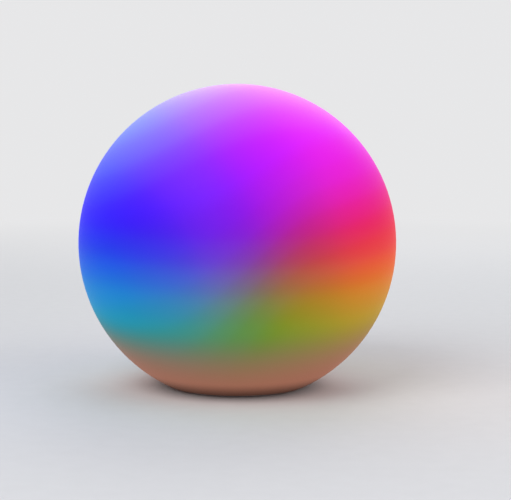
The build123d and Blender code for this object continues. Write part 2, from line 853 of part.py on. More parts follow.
# Deck: closes the housing, carries the LED ring, and holds the solar panel on its pedestal
panel_lead_places = [(-panel_lead_offset, 0.0), (panel_lead_offset, 0.0)]
lead_hole_radius = lead_radius + lead_hole_gap
lead_slot_length = (lead_count - 1) * lead_pitch + 2 * lead_hole_radius
with BuildPart() as top_deck:
    extrude(circle_faces(deck_z, [(0, 0)], housing_radius), amount=deck_thickness)
    fillet(top_deck.edges().group_by(Axis.Z)[-1], deck_round)
    extrude(circle_faces(deck_top_z, [(0, 0)], pedestal_radius), amount=pedestal_height)
    fillet(top_deck.edges().group_by(Axis.Z)[-1], pedestal_round)
    extrude(
        circle_faces(panel_z, [(0, 0)], panel_radius + fit_gap),
        amount=panel_seat_depth,
        mode=Mode.SUBTRACT,
    )
    extrude(circle_faces(board_top_z, board_boss_places, board_boss_radius), amount=board_standoff)
    extrude(
        circle_faces(board_top_z, board_boss_places, small_screw_radius),
        amount=small_screw_grip,
        mode=Mode.SUBTRACT,
    )
    extrude(circle_faces(deck_z, post_places, clear_hole), amount=deck_thickness, mode=Mode.SUBTRACT)
    extrude(
        circle_faces(deck_z, panel_lead_places, lead_hole_radius),
        amount=panel_z - deck_z,
        mode=Mode.SUBTRACT,
    )
    with BuildSketch(Plane.XY.offset(deck_z)):
        with Locations((led_circle, 0)):
            SlotOverall(lead_slot_length, 2 * lead_hole_radius, rotation=90)
    extrude(amount=deck_thickness, mode=Mode.SUBTRACT)
top_deck.part.label = "top_deck"
export_step(top_deck.part, "parts/top_deck.step")

with BuildPart() as deck_gasket:
    extrude(
        ring_face(wall_top_z, gasket_inner, housing_radius - deck_gasket_edge),
        amount=gasket_thickness,
    )
deck_gasket.part.label = "deck_gasket"
export_step(deck_gasket.part, "parts/deck_gasket.step")

# LED ring with its packages, which leave out the places where the deck screws pass
with BuildPart() as led_board:
    extrude(ring_face(deck_top_z, led_board_inner, led_board_outer), amount=board_thickness)
    extrude(circle_faces(deck_top_z, post_places, clear_hole), amount=board_thickness, mode=Mode.SUBTRACT)
led_board.part.label = "led_board"
export_step(led_board.part, "parts/led_board.step")

deck_screw_length = board_thickness + deck_thickness + screw_grip - screw_tip_gap
deck_screw = pan_screw(pan_head_radius, pan_head_height, screw_radius, deck_screw_length)
with BuildPart() as deck_screws:
    for place in post_places:
        with Locations(Location((*place, led_board_top_z), (180, 0, 0))):
            add(deck_screw)
deck_screws.part.label = "deck_screws"
export_step(deck_screws.part, "parts/deck_screws.step")

led_spots = []
for index in range(led_places):
    angle = index * 360.0 / led_places
    led_x = led_circle * math.cos(math.radians(angle))
    led_y = led_circle * math.sin(math.radians(angle))
    screw_distance = min(math.dist((led_x, led_y), place) for place in post_places)
    if screw_distance > led_size / 2 + pan_head_radius + led_screw_gap:
        led_spots.append(Location((led_x, led_y, 0), (0, 0, angle)))
with BuildPart() as led_packages:
    with BuildSketch(Plane.XY.offset(led_board_top_z)):
        with Locations(*led_spots):
            Rectangle(led_size, led_size)
    extrude(amount=led_height)
    extrude(
        circle_faces(led_board_top_z + led_height, led_spots, led_cup_radius),
        amount=-led_cup_depth,
        mode=Mode.SUBTRACT,
    )
led_packages.part.label = "led_packages"
export_step(led_packages.part, "parts/led_packages.step")

led_lead_places = [
    (led_circle, (index - (lead_count - 1) / 2) * lead_pitch) for index in range(lead_count)
]
with BuildPart() as led_leads:
    extrude(circle_faces(board_top_z, led_lead_places, lead_radius), amount=deck_top_z - board_top_z)
led_leads.part.label = "led_leads"
export_step(led_leads.part, "parts/led_leads.step")

# Solar panel: round board, strips of cells, and the clear layer cast over them
with BuildPart() as panel_board:
    extrude(circle_faces(panel_z, [(0, 0)], panel_radius), amount=panel_thickness)
panel_board.part.label = "panel_board"
export_step(panel_board.part, "parts/panel_board.step")

strips_radius = panel_radius - panel_margin
strip_width = (2 * strips_radius - (strip_count - 1) * strip_gap) / strip_count
with BuildPart() as solar_cells:
    with BuildSketch(Plane.XY.offset(panel_top_z)):
        with GridLocations(strip_width + strip_gap, 0, strip_count, 1):
            Rectangle(strip_width, 2 * strips_radius)
        Circle(strips_radius, mode=Mode.INTERSECT)
    extrude(amount=cell_film)
solar_cells.part.label = "solar_cells"
export_step(solar_cells.part, "parts/solar_cells.step")

with BuildPart() as panel_window:
    extrude(circle_faces(panel_top_z, [(0, 0)], panel_radius), amount=cell_film + window_thickness)
    add(solar_cells.part, mode=Mode.SUBTRACT)
panel_window.part.label = "panel_window"
export_step(panel_window.part, "parts/panel_window.step")

with BuildPart() as panel_leads:
    extrude(circle_faces(board_top_z, panel_lead_places, lead_radius), amount=panel_z - board_top_z)
panel_leads.part.label = "panel_leads"
export_step(panel_leads.part, "parts/panel_leads.step")
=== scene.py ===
import json
import math

import bmesh
import bpy
from mathutils import Matrix, Vector


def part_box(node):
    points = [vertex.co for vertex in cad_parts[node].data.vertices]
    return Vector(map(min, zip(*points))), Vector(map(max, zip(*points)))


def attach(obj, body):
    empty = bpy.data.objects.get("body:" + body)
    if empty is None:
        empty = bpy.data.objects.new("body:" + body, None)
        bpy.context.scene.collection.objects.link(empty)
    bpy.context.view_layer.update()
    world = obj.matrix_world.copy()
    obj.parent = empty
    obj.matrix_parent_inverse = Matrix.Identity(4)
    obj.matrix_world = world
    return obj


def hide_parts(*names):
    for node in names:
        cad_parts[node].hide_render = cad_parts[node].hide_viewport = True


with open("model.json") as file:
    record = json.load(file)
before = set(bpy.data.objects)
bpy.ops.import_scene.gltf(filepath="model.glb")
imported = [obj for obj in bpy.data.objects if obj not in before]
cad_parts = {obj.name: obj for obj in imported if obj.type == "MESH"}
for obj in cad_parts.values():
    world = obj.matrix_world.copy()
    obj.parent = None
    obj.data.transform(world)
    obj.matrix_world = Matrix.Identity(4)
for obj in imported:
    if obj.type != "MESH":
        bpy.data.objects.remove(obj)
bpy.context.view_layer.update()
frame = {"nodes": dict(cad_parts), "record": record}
bpy.context.scene.view_settings.view_transform = "Standard"
mm = 0.001

globeLow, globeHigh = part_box("globe_shell")
globeRadius = (globeHigh.x - globeLow.x) / 2
globeCentre = Vector((0, 0, globeHigh.z - globeRadius))
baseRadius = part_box("base_housing")[1].x
print("frame:", len(frame["nodes"]), "nodes, globe radius", round(globeRadius / mm, 1), "mm")


# Node helpers

noiseSpread = (0.3, 0.7)  # most values of a noise lie between these


def startMaterial(name):
    material = bpy.data.materials.new(name)
    material.use_nodes = True
    nodes = material.node_tree.nodes
    return material, nodes["Principled BSDF"], nodes.new("ShaderNodeTexCoord").outputs["Object"]


def fill(node, inputs):
    # an output is linked, a number, vector or colour is set
    for socket, value in inputs.items():
        target = node.inputs[socket]
        if isinstance(value, bpy.types.NodeSocket):
            node.id_data.links.new(value, target)
        elif target.type == "RGBA":
            target.default_value = (*value, 1)
        else:
            target.default_value = value


def nodeOf(kind, inputs, output, **settings):
    # the node joins the tree of the first output among its inputs
    source = next(value for value in inputs.values() if isinstance(value, bpy.types.NodeSocket))
    node = source.id_data.nodes.new("ShaderNode" + kind)
    for setting, value in settings.items():
        setattr(node, setting, value)
    fill(node, inputs)
    return node.outputs[output]


def axesOf(vector):
    return nodeOf("SeparateXYZ", {0: vector}, 0).node.outputs


def noiseOf(vector, scale, detail):
    return nodeOf("TexNoise", {"Vector": vector, "Scale": scale, "Detail": detail}, "Fac")


def patchesOf(vector, scale, distance="EUCLIDEAN"):
    # one chance tone for each patch
    colour = nodeOf("TexVoronoi", {"Vector": vector, "Scale": scale}, "Color", distance=distance)
    return axesOf(colour)["X"]


def circleOf(vector):
    # share of the way round the upright axis
    return nodeOf("TexGradient", {"Vector": vector}, "Fac", gradient_type="RADIAL")


def mapOf(vector, **settings):
    return nodeOf("Mapping", {"Vector": vector, **settings}, "Vector")


def mathOf(operation, *values):
    return nodeOf("Math", dict(enumerate(values)), 0, operation=operation)


def vectorOf(operation, *vectors):
    output = "Value" if operation in ("LENGTH", "DISTANCE") else "Vector"
    return nodeOf("VectorMath", dict(enumerate(vectors)), output, operation=operation)


def radiusOf(vector):
    # distance from the upright axis
    return vectorOf("LENGTH", vectorOf("MULTIPLY", vector, (1, 1, 0)))


def rangeOf(value, fromLow, fromHigh, toLow, toHigh, smooth=True):
    inputs = {"Value": value, "From Min": fromLow, "From Max": fromHigh, "To Min": toLow, "To Max": toHigh}
    return nodeOf("MapRange", inputs, "Result", interpolation_type="SMOOTHSTEP" if smooth else "LINEAR")


def spreadOf(noise, low, high):
    return rangeOf(noise, *noiseSpread, low, high)


def stripesOf(place, perMetre, edges):
    # edges are shares of a step, from the middle of a stripe
    step = mathOf("MULTIPLY", place, perMetre)
    return rangeOf(mathOf("PINGPONG", step, 0.5), *edges, 1, 0)


def rampOf(value, stops, interpolation="LINEAR"):
    colour = nodeOf("ValToRGB", {"Fac": value}, "Color")
    ramp = colour.node.color_ramp
    ramp.interpolation = interpolation
    ramp.elements.remove(ramp.elements[1])
    ramp.elements[0].position = stops[0][0]
    ramp.elements[0].color = (*stops[0][1], 1)
    for place, stopColour in stops[1:]:
        ramp.elements.new(place).color = (*stopColour, 1)
    return colour


def tintOf(noise, colour, shares):
    return rampOf(noise, [(place, [channel * share for channel in colour])
                          for place, share in zip(noiseSpread, shares)])


def shadeOf(colour, brightness):
    return nodeOf("HueSaturation", {"Color": colour, "Value": brightness}, "Color")


def mixOf(factor, first, second):
    # 6, 7 and 2 are the sockets for colours
    return nodeOf("Mix", {"Factor": factor, 6: first, 7: second}, 2, data_type="RGBA")


def mixShaders(factor, first, second):
    return nodeOf("MixShader", {0: factor, 1: first, 2: second}, 0)


def bumpOf(height, strength, distance):
    return nodeOf("Bump", {"Height": height, "Strength": strength, "Distance": distance}, "Normal")


# Camera, floor and light

photoView = {
    "width": 511,
    "height": 500,
    "globePixel": (237.3, 242.7),  # middle of the globe in the picture
    "globePixelRadius": 158.9,
    "distance": 1.25,
    "rise": 0.10,  # camera above the middle of the globe
    "sensor": 36,
}
studio = {
    "backdrop": (0.80, 0.80, 0.81),
    "floorColour": (0.62, 0.62, 0.63),
    "floorTints": (0.99, 1.01),
    "floorMottle": 60,
    "floorRoughness": 0.9,
    "floorSpecular": 0.1,
    "floorSize": 12.0,
    "fadeStart": 0.7,  # floor goes over into the backdrop from here
    "fadeEnd": 2.6,
    "hiddenShare": 0.97,  # of the base's radius
    "skyColour": (0.93, 0.96, 1.0),
    "skyStrength": 0.55,
    "lamps": (
        ("keyLamp", (-1.1, -1.5, 1.7), 1.6, 34),
        ("fillLamp", (1.6, -0.9, 1.1), 1.8, 14),
        ("backLamp", (0.3, 1.9, 1.5), 1.8, 20),
    ),
}


def addToScene(name, data):
    thing = bpy.data.objects.new(name, data)
    bpy.context.scene.collection.objects.link(thing)
    return thing


def addCamera(view):
    data = bpy.data.cameras.new("photoCamera")
    camera = addToScene("photoCamera", data)
    back = Vector((0, -view["distance"], view["rise"]))
    focalPixels = view["globePixelRadius"] / math.tan(math.asin(globeRadius / back.length))
    data.sensor_width = view["sensor"]
    data.lens = focalPixels / view["width"] * view["sensor"]
    data.shift_x = (view["width"] / 2 - view["globePixel"][0]) / view["width"]
    data.shift_y = (view["globePixel"][1] - view["height"] / 2) / view["width"]
    camera.location = globeCentre + back
    camera.rotation_euler = (-back).to_track_quat("-Z", "Y").to_euler()
    bpy.context.scene.camera = camera


def addStudio(look):
    world = bpy.data.worlds.new("studioSky")
    bpy.context.scene.world = world
    world.use_nodes = True
    nodes = world.node_tree.nodes
    sky, plain = nodes["Background"], nodes.new("ShaderNodeBackground")
    fill(sky, {"Color": look["skyColour"], "Strength": look["skyStrength"]})
    fill(plain, {"Color": look["backdrop"]})
    # camera, mirror and glass rays all see the plain backdrop
    ray = nodes.new("ShaderNodeLightPath").outputs
    shown = mathOf("MAXIMUM", ray["Is Camera Ray"], ray["Is Glossy Ray"])
    shown = mathOf("MAXIMUM", shown, ray["Is Transmission Ray"])
    fill(nodes["World Output"], {"Surface": mixShaders(shown, sky.outputs[0], plain.outputs[0])})

    for name, place, size, power in look["lamps"]:
        lamp = bpy.data.lights.new(name, "AREA")
        lamp.size = size
        lamp.energy = power
        holder = addToScene(name, lamp)
        holder.location = place
        holder.rotation_euler = (globeCentre - Vector(place)).to_track_quat("-Z", "Y").to_euler()

    bm = bmesh.new()
    bmesh.ops.create_grid(bm, x_segments=1, y_segments=1, size=look["floorSize"] / 2)
    mesh = bpy.data.meshes.new("studioFloor")
    bm.to_mesh(mesh)
    bm.free()
    floor = addToScene("studioFloor", mesh)
    mesh.materials.append(floorMaterial(look))


def floorMaterial(look):
    material, shader, coords = startMaterial("floorPaper")
    nodes = material.node_tree.nodes
    mottle = noiseOf(coords, look["floorMottle"], 4)
    fill(shader, {
        "Base Color": tintOf(mottle, look["floorColour"], look["floorTints"]),
        "Roughness": look["floorRoughness"],
        "Specular IOR Level": look["floorSpecular"],
    })
    plain = nodes.new("ShaderNodeEmission")
    fill(plain, {"Color": look["backdrop"]})
    away = vectorOf("LENGTH", coords)
    fade = rangeOf(away, look["fadeStart"], look["fadeEnd"], 0, 1)
    paper = mixShaders(fade, shader.outputs[0], plain.outputs[0])
    # from below the paper isn't seen, and under the base it lets light through to the underside
    hidden = mathOf("LESS_THAN", away, look["hiddenShare"] * baseRadius)
    seen = nodes.new("ShaderNodeLightPath").outputs["Is Camera Ray"]
    lit = mathOf("MULTIPLY", hidden, mathOf("SUBTRACT", 1, seen))
    below = nodes.new("ShaderNodeNewGeometry").outputs["Backfacing"]
    clear = nodes.new("ShaderNodeBsdfTransparent").outputs[0]
    surface = mixShaders(mathOf("MAXIMUM", below, lit), paper, clear)
    fill(nodes["Material Output"], {"Surface": surface})
    return material


# Globe: milky plastic with a painted glow, as if lit from inside by red, green and blue lamps, in mm and in
# brightness on a screen

globeGlow = {
    "red": {
        "weakest": (-150, 0, 97),  # grows with the distance from here
        "levels": ((0, 0.07), (60, 0.15), (120, 0.34), (180, 0.58), (240, 0.84), (300, 0.94)),
        "below": (40, 130, 0.69),  # dimmer beside the light module than above it
    },
    "green": {
        "bow": 0.4,  # its upper edge curves up at the sides
        "levels": ((6, 0.48), (30, 0.53), (54, 0.575), (78, 0.565),
                   (102, 0.465), (126, 0.295), (150, 0.15), (174, 0.08)),
    },
    "blue": {
        "edge": (-65, 70, 60, 132),  # left and right end of its lower edge, and the height of each
        "lean": 0.3,
        "sharper": 1.6,  # times steeper on the right than on the left
        "levels": ((-90, 0.16), (-60, 0.235), (-30, 0.31), (0, 0.45), (30, 0.62),
                   (60, 0.775), (90, 0.87), (120, 0.935), (150, 1.0)),
    },
    "crown": {  # a painted highlight, paler towards the top
        "edge": (-150, 50, 195, 265),
        "lean": 0,
        "sharper": 1,
        "levels": ((-70, 0.0), (-46, 0.07), (-22, 0.165), (2, 0.325), (26, 0.49), (50, 0.64)),
        "redShare": 0.08,
        "softness": 0.08,
    },
    "foot": (  # painted light and shade at the foot, each between two heights: from a haze of light thrown back by the ground above it, down to its dark rim of painted contact shade
        {"colour": (0.52, 0.47, 0.45), "fade": (85, 35), "bow": -0.6, "share": 0.5},
        {"colour": (0.67, 0.43, 0.355), "fade": (68, 12), "bow": 0.9, "share": 0.92},
        # dark rim: painted contact shade where the shell meets the ground
        {"colour": (0.28, 0.19, 0.16), "fade": (18, -3), "bow": 0, "share": 1},
    ),
    "screenGamma": 2.2,
    "lightShare": 0.66,
    # share of the painted glow that is put into the skin's colour as painted light
    "paintedGlowSkinShare": 0.32,
    "specular": 0.10,
    "gloss": (0.46, 0.58),
    "grainScale": 1400,
    "waveScale": 22,
    "waveShare": 6.0,  # times the grain's height
    "bump": (0.12, 0.2 * mm),
}


def globeMaterial(look):
    # the glow, its highlight at the top and the light and shade at the foot are all painted
    material, shader, coords = startMaterial("globeMilkyPlasticPaintedGlow")
    axes = axesOf(coords)
    across, height = axes["X"], axes["Z"]
    square = mathOf("MULTIPLY", across, across)

    def levelsOf(value, levels):
        low, high = levels[0][0], levels[-1][0]
        share = rangeOf(value, low * mm, high * mm, 0, 1, smooth=False)
        stops = [((place - low) / (high - low), (level, level, level)) for place, level in levels]
        return rampOf(share, stops, "CARDINAL")

    def aboveEdge(lamp):
        left, right, low, high = [size * mm for size in lamp["edge"]]
        climb = rangeOf(across, left, right, low, high)
        leant = mathOf("MULTIPLY_ADD", across, -lamp["lean"], height)
        stretch = rangeOf(across, left, right, 1, lamp["sharper"])
        return mathOf("MULTIPLY", mathOf("SUBTRACT", leant, climb), stretch)

    def bowed(layer):
        return mathOf("MULTIPLY_ADD", square, -layer["bow"], height)

    flat = vectorOf("MULTIPLY", coords, (1, 0, 1))  # the back is lit like the front
    away = vectorOf("DISTANCE", flat, [size * mm for size in look["red"]["weakest"]])
    low, high, least = look["red"]["below"]
    dimmed = rangeOf(height, low * mm, high * mm, least, 1)
    red = mathOf("MULTIPLY", levelsOf(away, look["red"]["levels"]), dimmed)
    green = levelsOf(bowed(look["green"]), look["green"]["levels"])
    blue = levelsOf(aboveEdge(look["blue"]), look["blue"]["levels"])
    # painted highlight towards the top, added to the red and the green
    crown = levelsOf(aboveEdge(look["crown"]), look["crown"]["levels"])
    red = mathOf("MULTIPLY_ADD", crown, look["crown"]["redShare"], red)
    green = mathOf("SMOOTH_MAX", green, crown, look["crown"]["softness"])
    glow = nodeOf("CombineColor", {"Red": red, "Green": green, "Blue": blue}, "Color")
    # painted ground light and painted contact shade laid over the glow towards the foot
    for layer in look["foot"]:
        start, full = layer["fade"]
        share = rangeOf(bowed(layer), full * mm, start * mm, layer["share"], 0)
        glow = mixOf(share, glow, layer["colour"])

    light = nodeOf("Gamma", {"Color": glow, "Gamma": look["screenGamma"]}, "Color")  # screen colour to light
    grain = noiseOf(coords, look["grainScale"], 2)
    wave = noiseOf(coords, look["waveScale"], 2)
    relief = mathOf("MULTIPLY_ADD", wave, look["waveShare"], grain)
    fill(shader, {
        # the skin's colour is the painted glow, dimmed
        "Base Color": shadeOf(light, look["paintedGlowSkinShare"]),
        "Emission Color": light,
        "Emission Strength": look["lightShare"],
        "Specular IOR Level": look["specular"],
        "Roughness": spreadOf(grain, *look["gloss"]),
        "Normal": bumpOf(relief, *look["bump"]),
    })
    return material


# Moulded plastics, rubbers and silicone: colour, gloss range, grain size, grain depth

mouldings = {
    "ring_plastic": ((0.085, 0.085, 0.092), (0.48, 0.64), 1500, 0.35),
    "housing_plastic": ((0.110, 0.110, 0.118), (0.50, 0.66), 1300, 0.40),
    "cover_plastic": ((0.100, 0.100, 0.108), (0.50, 0.66), 1300, 0.40),
    "tray_plastic": ((0.045, 0.045, 0.050), (0.36, 0.50), 900, 0.15),
    "switch_plastic": ((0.035, 0.035, 0.040), (0.34, 0.48), 1100, 0.15),
    "plunger_plastic": ((0.72, 0.70, 0.64), (0.34, 0.46), 900, 0.12),
    "button_plastic": ((0.47, 0.48, 0.50), (0.30, 0.44), 1200, 0.18),
    "chip_epoxy": ((0.030, 0.030, 0.033), (0.52, 0.70), 2600, 0.30),
    "coil_ferrite": ((0.085, 0.080, 0.076), (0.62, 0.80), 2000, 0.45),
    "deck_plastic": ((0.78, 0.78, 0.765), (0.30, 0.42), 700, 0.12),
    "led_body": ((0.80, 0.80, 0.78), (0.30, 0.42), 1500, 0.15),
    "panel_laminate": ((0.045, 0.052, 0.080), (0.34, 0.48), 1600, 0.20),
    "seal_silicone": ((0.52, 0.53, 0.54), (0.55, 0.72), 1100, 0.25),
    "foot_rubber": ((0.045, 0.045, 0.046), (0.70, 0.88), 1500, 0.45),
    "gasket_rubber": ((0.055, 0.055, 0.058), (0.66, 0.84), 1500, 0.35),
}
mouldedSkin = {"mottle": 45, "tints": (0.86, 1.12), "specular": 0.4, "grainRise": 0.12 * mm}


def mouldedMaterial(slotName, look):
    colour, gloss, grainScale, grainDepth = look
    material, shader, coords = startMaterial(slotName)
    mottle = noiseOf(coords, mouldedSkin["mottle"], 4)
    fill(shader, {
        "Base Color": tintOf(mottle, colour, mouldedSkin["tints"]),
        "Roughness": spreadOf(mottle, *gloss),
        "Specular IOR Level": mouldedSkin["specular"],
        "Normal": bumpOf(noiseOf(coords, grainScale, 2), grainDepth, mouldedSkin["grainRise"]),
    })
    return material


# Metals: colour, gloss range, brushed or plated streaks along each axis

metals = {
    "insert_brass": ((0.72, 0.52, 0.22), (0.24, 0.40), (900, 900, 90)),
    "zinc_screw": ((0.64, 0.64, 0.62), (0.26, 0.44), (700, 700, 250)),
    "contact_nickel": ((0.68, 0.65, 0.59), (0.22, 0.36), (300, 300, 1400)),
    "capacitor_can": ((0.72, 0.72, 0.74), (0.26, 0.38), (260, 260, 2200)),
}
metalSkin = {"tints": (0.82, 1.06), "bump": (0.05, 0.1 * mm)}


def metalMaterial(slotName, look):
    colour, gloss, streaks = look
    material, shader, coords = startMaterial(slotName)
    streak = noiseOf(mapOf(coords, Scale=streaks), 1, 3)
    fill(shader, {
        "Base Color": tintOf(streak, colour, metalSkin["tints"]),
        "Roughness": spreadOf(streak, *gloss),
        "Metallic": 1,
        "Normal": bumpOf(streak, *metalSkin["bump"]),
    })
    return material


# Leads: axis across them, half their spread, insulation colours by the share of the spread where each begins

blackAndRed = ((0, (0.03, 0.03, 0.032)), (0.5, (0.52, 0.03, 0.025)))
leadSkins = {
    "battery_lead_skin": ("X", 30 * mm, blackAndRed),
    "panel_lead_skin": ("X", 30 * mm, blackAndRed),
    "switch_lead_skin": ("X", 30 * mm, ((0, (0.70, 0.56, 0.06)), (0.5, (0.66, 0.66, 0.63)))),
    "led_lead_skin": ("Y", 6 * mm, ((0, (0.03, 0.03, 0.032)), (0.25, (0.50, 0.03, 0.025)),
                                    (0.5, (0.03, 0.30, 0.07)), (0.75, (0.04, 0.10, 0.52)))),
}
leadSkin = {"mottle": 700, "shades": (0.86, 1.1), "gloss": (0.34, 0.48), "bump": (0.1, 0.1 * mm)}


def leadMaterial(slotName, look):
    axis, reach, skins = look
    material, shader, coords = startMaterial(slotName)
    share = rangeOf(axesOf(coords)[axis], -reach, reach, 0, 1, smooth=False)
    mottle = noiseOf(coords, leadSkin["mottle"], 2)
    fill(shader, {
        "Base Color": shadeOf(rampOf(share, skins, "CONSTANT"), spreadOf(mottle, *leadSkin["shades"])),
        "Roughness": spreadOf(mottle, *leadSkin["gloss"]),
        "Normal": bumpOf(mottle, *leadSkin["bump"]),
    })
    return material


# Boards: solder mask over copper tracks

greenBoard = {
    "mask": (0.018, 0.130, 0.052),
    "track": (0.045, 0.235, 0.095),
    "patchScale": 85,
    "tracksPerMetre": 520,
    "trackEdges": (0.13, 0.17),
    "turnsAt": 0.42,  # patches below run along X, above along Y, and the last are plain
    "plainAt": 0.80,
    "cloud": 120,
    "gloss": (0.22, 0.34),
    "bump": (0.25, 0.05 * mm),
}
ringBoard = {
    "mask": (0.80, 0.80, 0.78),
    "track": (0.70, 0.70, 0.67),
    "laminate": (0.50, 0.43, 0.26),
    "tracks": ((31.4, 32.0), (32.5, 32.9), (39.2, 39.7), (40.3, 41.0)),  # radii in mm
    "edge": 42.2,
    "margin": 1,
    "cloud": 120,
    "shades": (0.95, 1.03),
    "gloss": (0.30, 0.42),
}


def boardMaterial(look):
    material, shader, coords = startMaterial("board_laminate")
    tone = patchesOf(coords, look["patchScale"], "CHEBYCHEV")
    axes = axesOf(coords)
    routed = nodeOf("Mix", {
        "Factor": mathOf("GREATER_THAN", tone, look["turnsAt"]),
        "A": stripesOf(axes["Y"], look["tracksPerMetre"], look["trackEdges"]),
        "B": stripesOf(axes["X"], look["tracksPerMetre"], look["trackEdges"]),
    }, "Result")
    shown = mathOf("MULTIPLY", routed, mathOf("LESS_THAN", tone, look["plainAt"]))
    fill(shader, {
        "Base Color": mixOf(shown, look["mask"], look["track"]),
        "Roughness": spreadOf(noiseOf(coords, look["cloud"], 2), *look["gloss"]),
        "Normal": bumpOf(shown, *look["bump"]),
    })
    return material


def ringBoardMaterial(look):
    material, shader, coords = startMaterial("led_board_mask")
    first, last = look["tracks"][0][0] - look["margin"], look["edge"] + look["margin"]
    share = rangeOf(radiusOf(coords), first * mm, last * mm, 0, 1, smooth=False)
    rings = [(first, look["mask"])]
    for start, end in look["tracks"]:
        rings += [(start, look["track"]), (end, look["mask"])]
    rings.append((look["edge"], look["laminate"]))
    stops = [((radius - first) / (last - first), colour) for radius, colour in rings]
    cloud = noiseOf(coords, look["cloud"], 3)
    fill(shader, {
        "Base Color": shadeOf(rampOf(share, stops, "CONSTANT"), spreadOf(cloud, *look["shades"])),
        "Roughness": spreadOf(cloud, *look["gloss"]),
    })
    return material


# Cells in their shrink sleeve, bare metal at both ends, pale washer round the nub

cellSleeve = {
    "sleeve": (0.030, 0.230, 0.110),
    "tints": (0.88, 1.1),
    "band": (0.62, 0.63, 0.60),
    "metal": (0.66, 0.65, 0.62),
    "washer": (0.72, 0.72, 0.69),
    "bandFrom": 15.0 * mm,  # from the middle of a cell
    "endFrom": 23.0 * mm,
    "bareRadius": 5.35 * mm,
    "nubRadius": 2.85 * mm,
    "fade": 0.1 * mm,
    "scuff": 160,
    "gloss": (0.22, 0.36),
    "bump": (0.08, 0.1 * mm),
}


def cellMaterial(look):
    material, shader, coords = startMaterial("cell_sleeve")
    low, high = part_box("battery_cell_right")
    middle = (low + high) / 2
    axes = axesOf(coords)
    along = mathOf("ABSOLUTE", axes["Y"])
    aside = mathOf("SUBTRACT", mathOf("ABSOLUTE", axes["X"]), middle.x)  # both cells at once
    above = mathOf("SUBTRACT", axes["Z"], middle.z)
    radial = mathOf("SQRT", mathOf("MULTIPLY_ADD", aside, aside, mathOf("MULTIPLY", above, above)))

    def beyond(place, edge, inside, outside):
        return rangeOf(place, look[edge], look[edge] + look["fade"], inside, outside)

    scuff = noiseOf(coords, look["scuff"], 4)
    sleeve = tintOf(scuff, look["sleeve"], look["tints"])
    painted = mixOf(beyond(along, "bandFrom", 0, 1), sleeve, look["band"])
    ended = mathOf("MULTIPLY", beyond(along, "endFrom", 0, 1), beyond(radial, "bareRadius", 1, 0))
    nubSide = mathOf("GREATER_THAN", mathOf("MULTIPLY", axes["X"], axes["Y"]), 0)
    roundNub = mathOf("MULTIPLY", nubSide, beyond(radial, "nubRadius", 0, 1))
    washer = mathOf("MULTIPLY", roundNub, ended)
    fill(shader, {
        "Base Color": mixOf(washer, mixOf(ended, painted, look["metal"]), look["washer"]),
        "Metallic": mathOf("SUBTRACT", ended, washer),
        "Roughness": spreadOf(scuff, *look["gloss"]),
        "Normal": bumpOf(scuff, *look["bump"]),
    })
    return material


# Solar panel: blue-black silicon with silver fingers under clear resin

solarLook = {
    "dark": (0.008, 0.012, 0.040),
    "light": (0.020, 0.032, 0.095),
    "crystals": 320,
    "finger": (0.42, 0.43, 0.44),
    "fingersPerMetre": 620,
    "fingerEdges": (0.05, 0.08),
    "gloss": (0.18, 0.34),
    "ribbonWidth": 1.1 * mm,
    "ribbonHeight": 0.08 * mm,
    "ribbonEdge": 0.02 * mm,
    "ribbonShort": 1.0 * mm,  # shorter than the cells by this
    "strips": 6,
    "stripGap": 0.6 * mm,
}
resinLook = {
    "colour": (0.95, 0.96, 0.97),
    "tints": (0.97, 1.0),
    "ripple": 60,
    "gloss": (0.03, 0.10),
    "refraction": 1.49,
    "bump": (0.06, 0.2 * mm),
}


def siliconMaterial(look):
    material, shader, coords = startMaterial("cell_silicon")
    tone = patchesOf(coords, look["crystals"])
    silicon = rampOf(tone, ((0, look["dark"]), (1, look["light"])))
    finger = stripesOf(axesOf(coords)["Y"], look["fingersPerMetre"], look["fingerEdges"])
    fill(shader, {
        "Base Color": mixOf(finger, silicon, look["finger"]),
        "Roughness": rangeOf(tone, 0, 1, *look["gloss"]),
    })
    return material


def resinMaterial(look):
    material, shader, coords = startMaterial("panel_resin")
    ripple = noiseOf(coords, look["ripple"], 3)
    fill(shader, {
        "Base Color": tintOf(ripple, look["colour"], look["tints"]),
        "Roughness": spreadOf(ripple, *look["gloss"]),
        "Transmission Weight": 1,
        "IOR": look["refraction"],
        "Normal": bumpOf(ripple, *look["bump"]),
    })
    return material


# LEDs: white moulded bodies and lenses that shine round the colour circle

postAngles = (60, 120, 240, 300)  # degrees, where the screw posts leave no room for LEDs
ledLook = {
    "hues": ((0.0, (1.0, 0.10, 0.10)), (0.17, (1.0, 0.12, 0.85)), (0.34, (0.45, 0.12, 1.0)),
             (0.5, (0.10, 0.22, 1.0)), (0.67, (0.06, 0.75, 0.85)), (0.83, (0.45, 0.80, 0.12)),
             (1.0, (1.0, 0.10, 0.10))),
    "strength": 1.4,
    "cloud": 900,
    "gloss": (0.18, 0.32),
    "places": 24,
    "size": 5.0 * mm,
    "edge": 0.2 * mm,
    "cupRadius": 2.1 * mm,
    "cupDepth": 0.5 * mm,
    "cupTaper": 0.86,
    "lens": ((0, 0.34 * mm), (0.5, 0.32 * mm), (0.98, 0.26 * mm)),  # share of the radius, height
    "tab": (0.9 * mm, 0.5 * mm, 0.7 * mm),
    "tabSpread": 1.5 * mm,
    "tabEdge": 0.08 * mm,
    "steps": 24,
}


def lensMaterial(look):
    material, shader, coords = startMaterial("ledLensLit")
    hue = rampOf(circleOf(coords), look["hues"])
    fill(shader, {
        "Base Color": hue,
        "Emission Color": hue,
        "Emission Strength": look["strength"],
        "Roughness": spreadOf(noiseOf(coords, look["cloud"], 2), *look["gloss"]),
    })
    return material


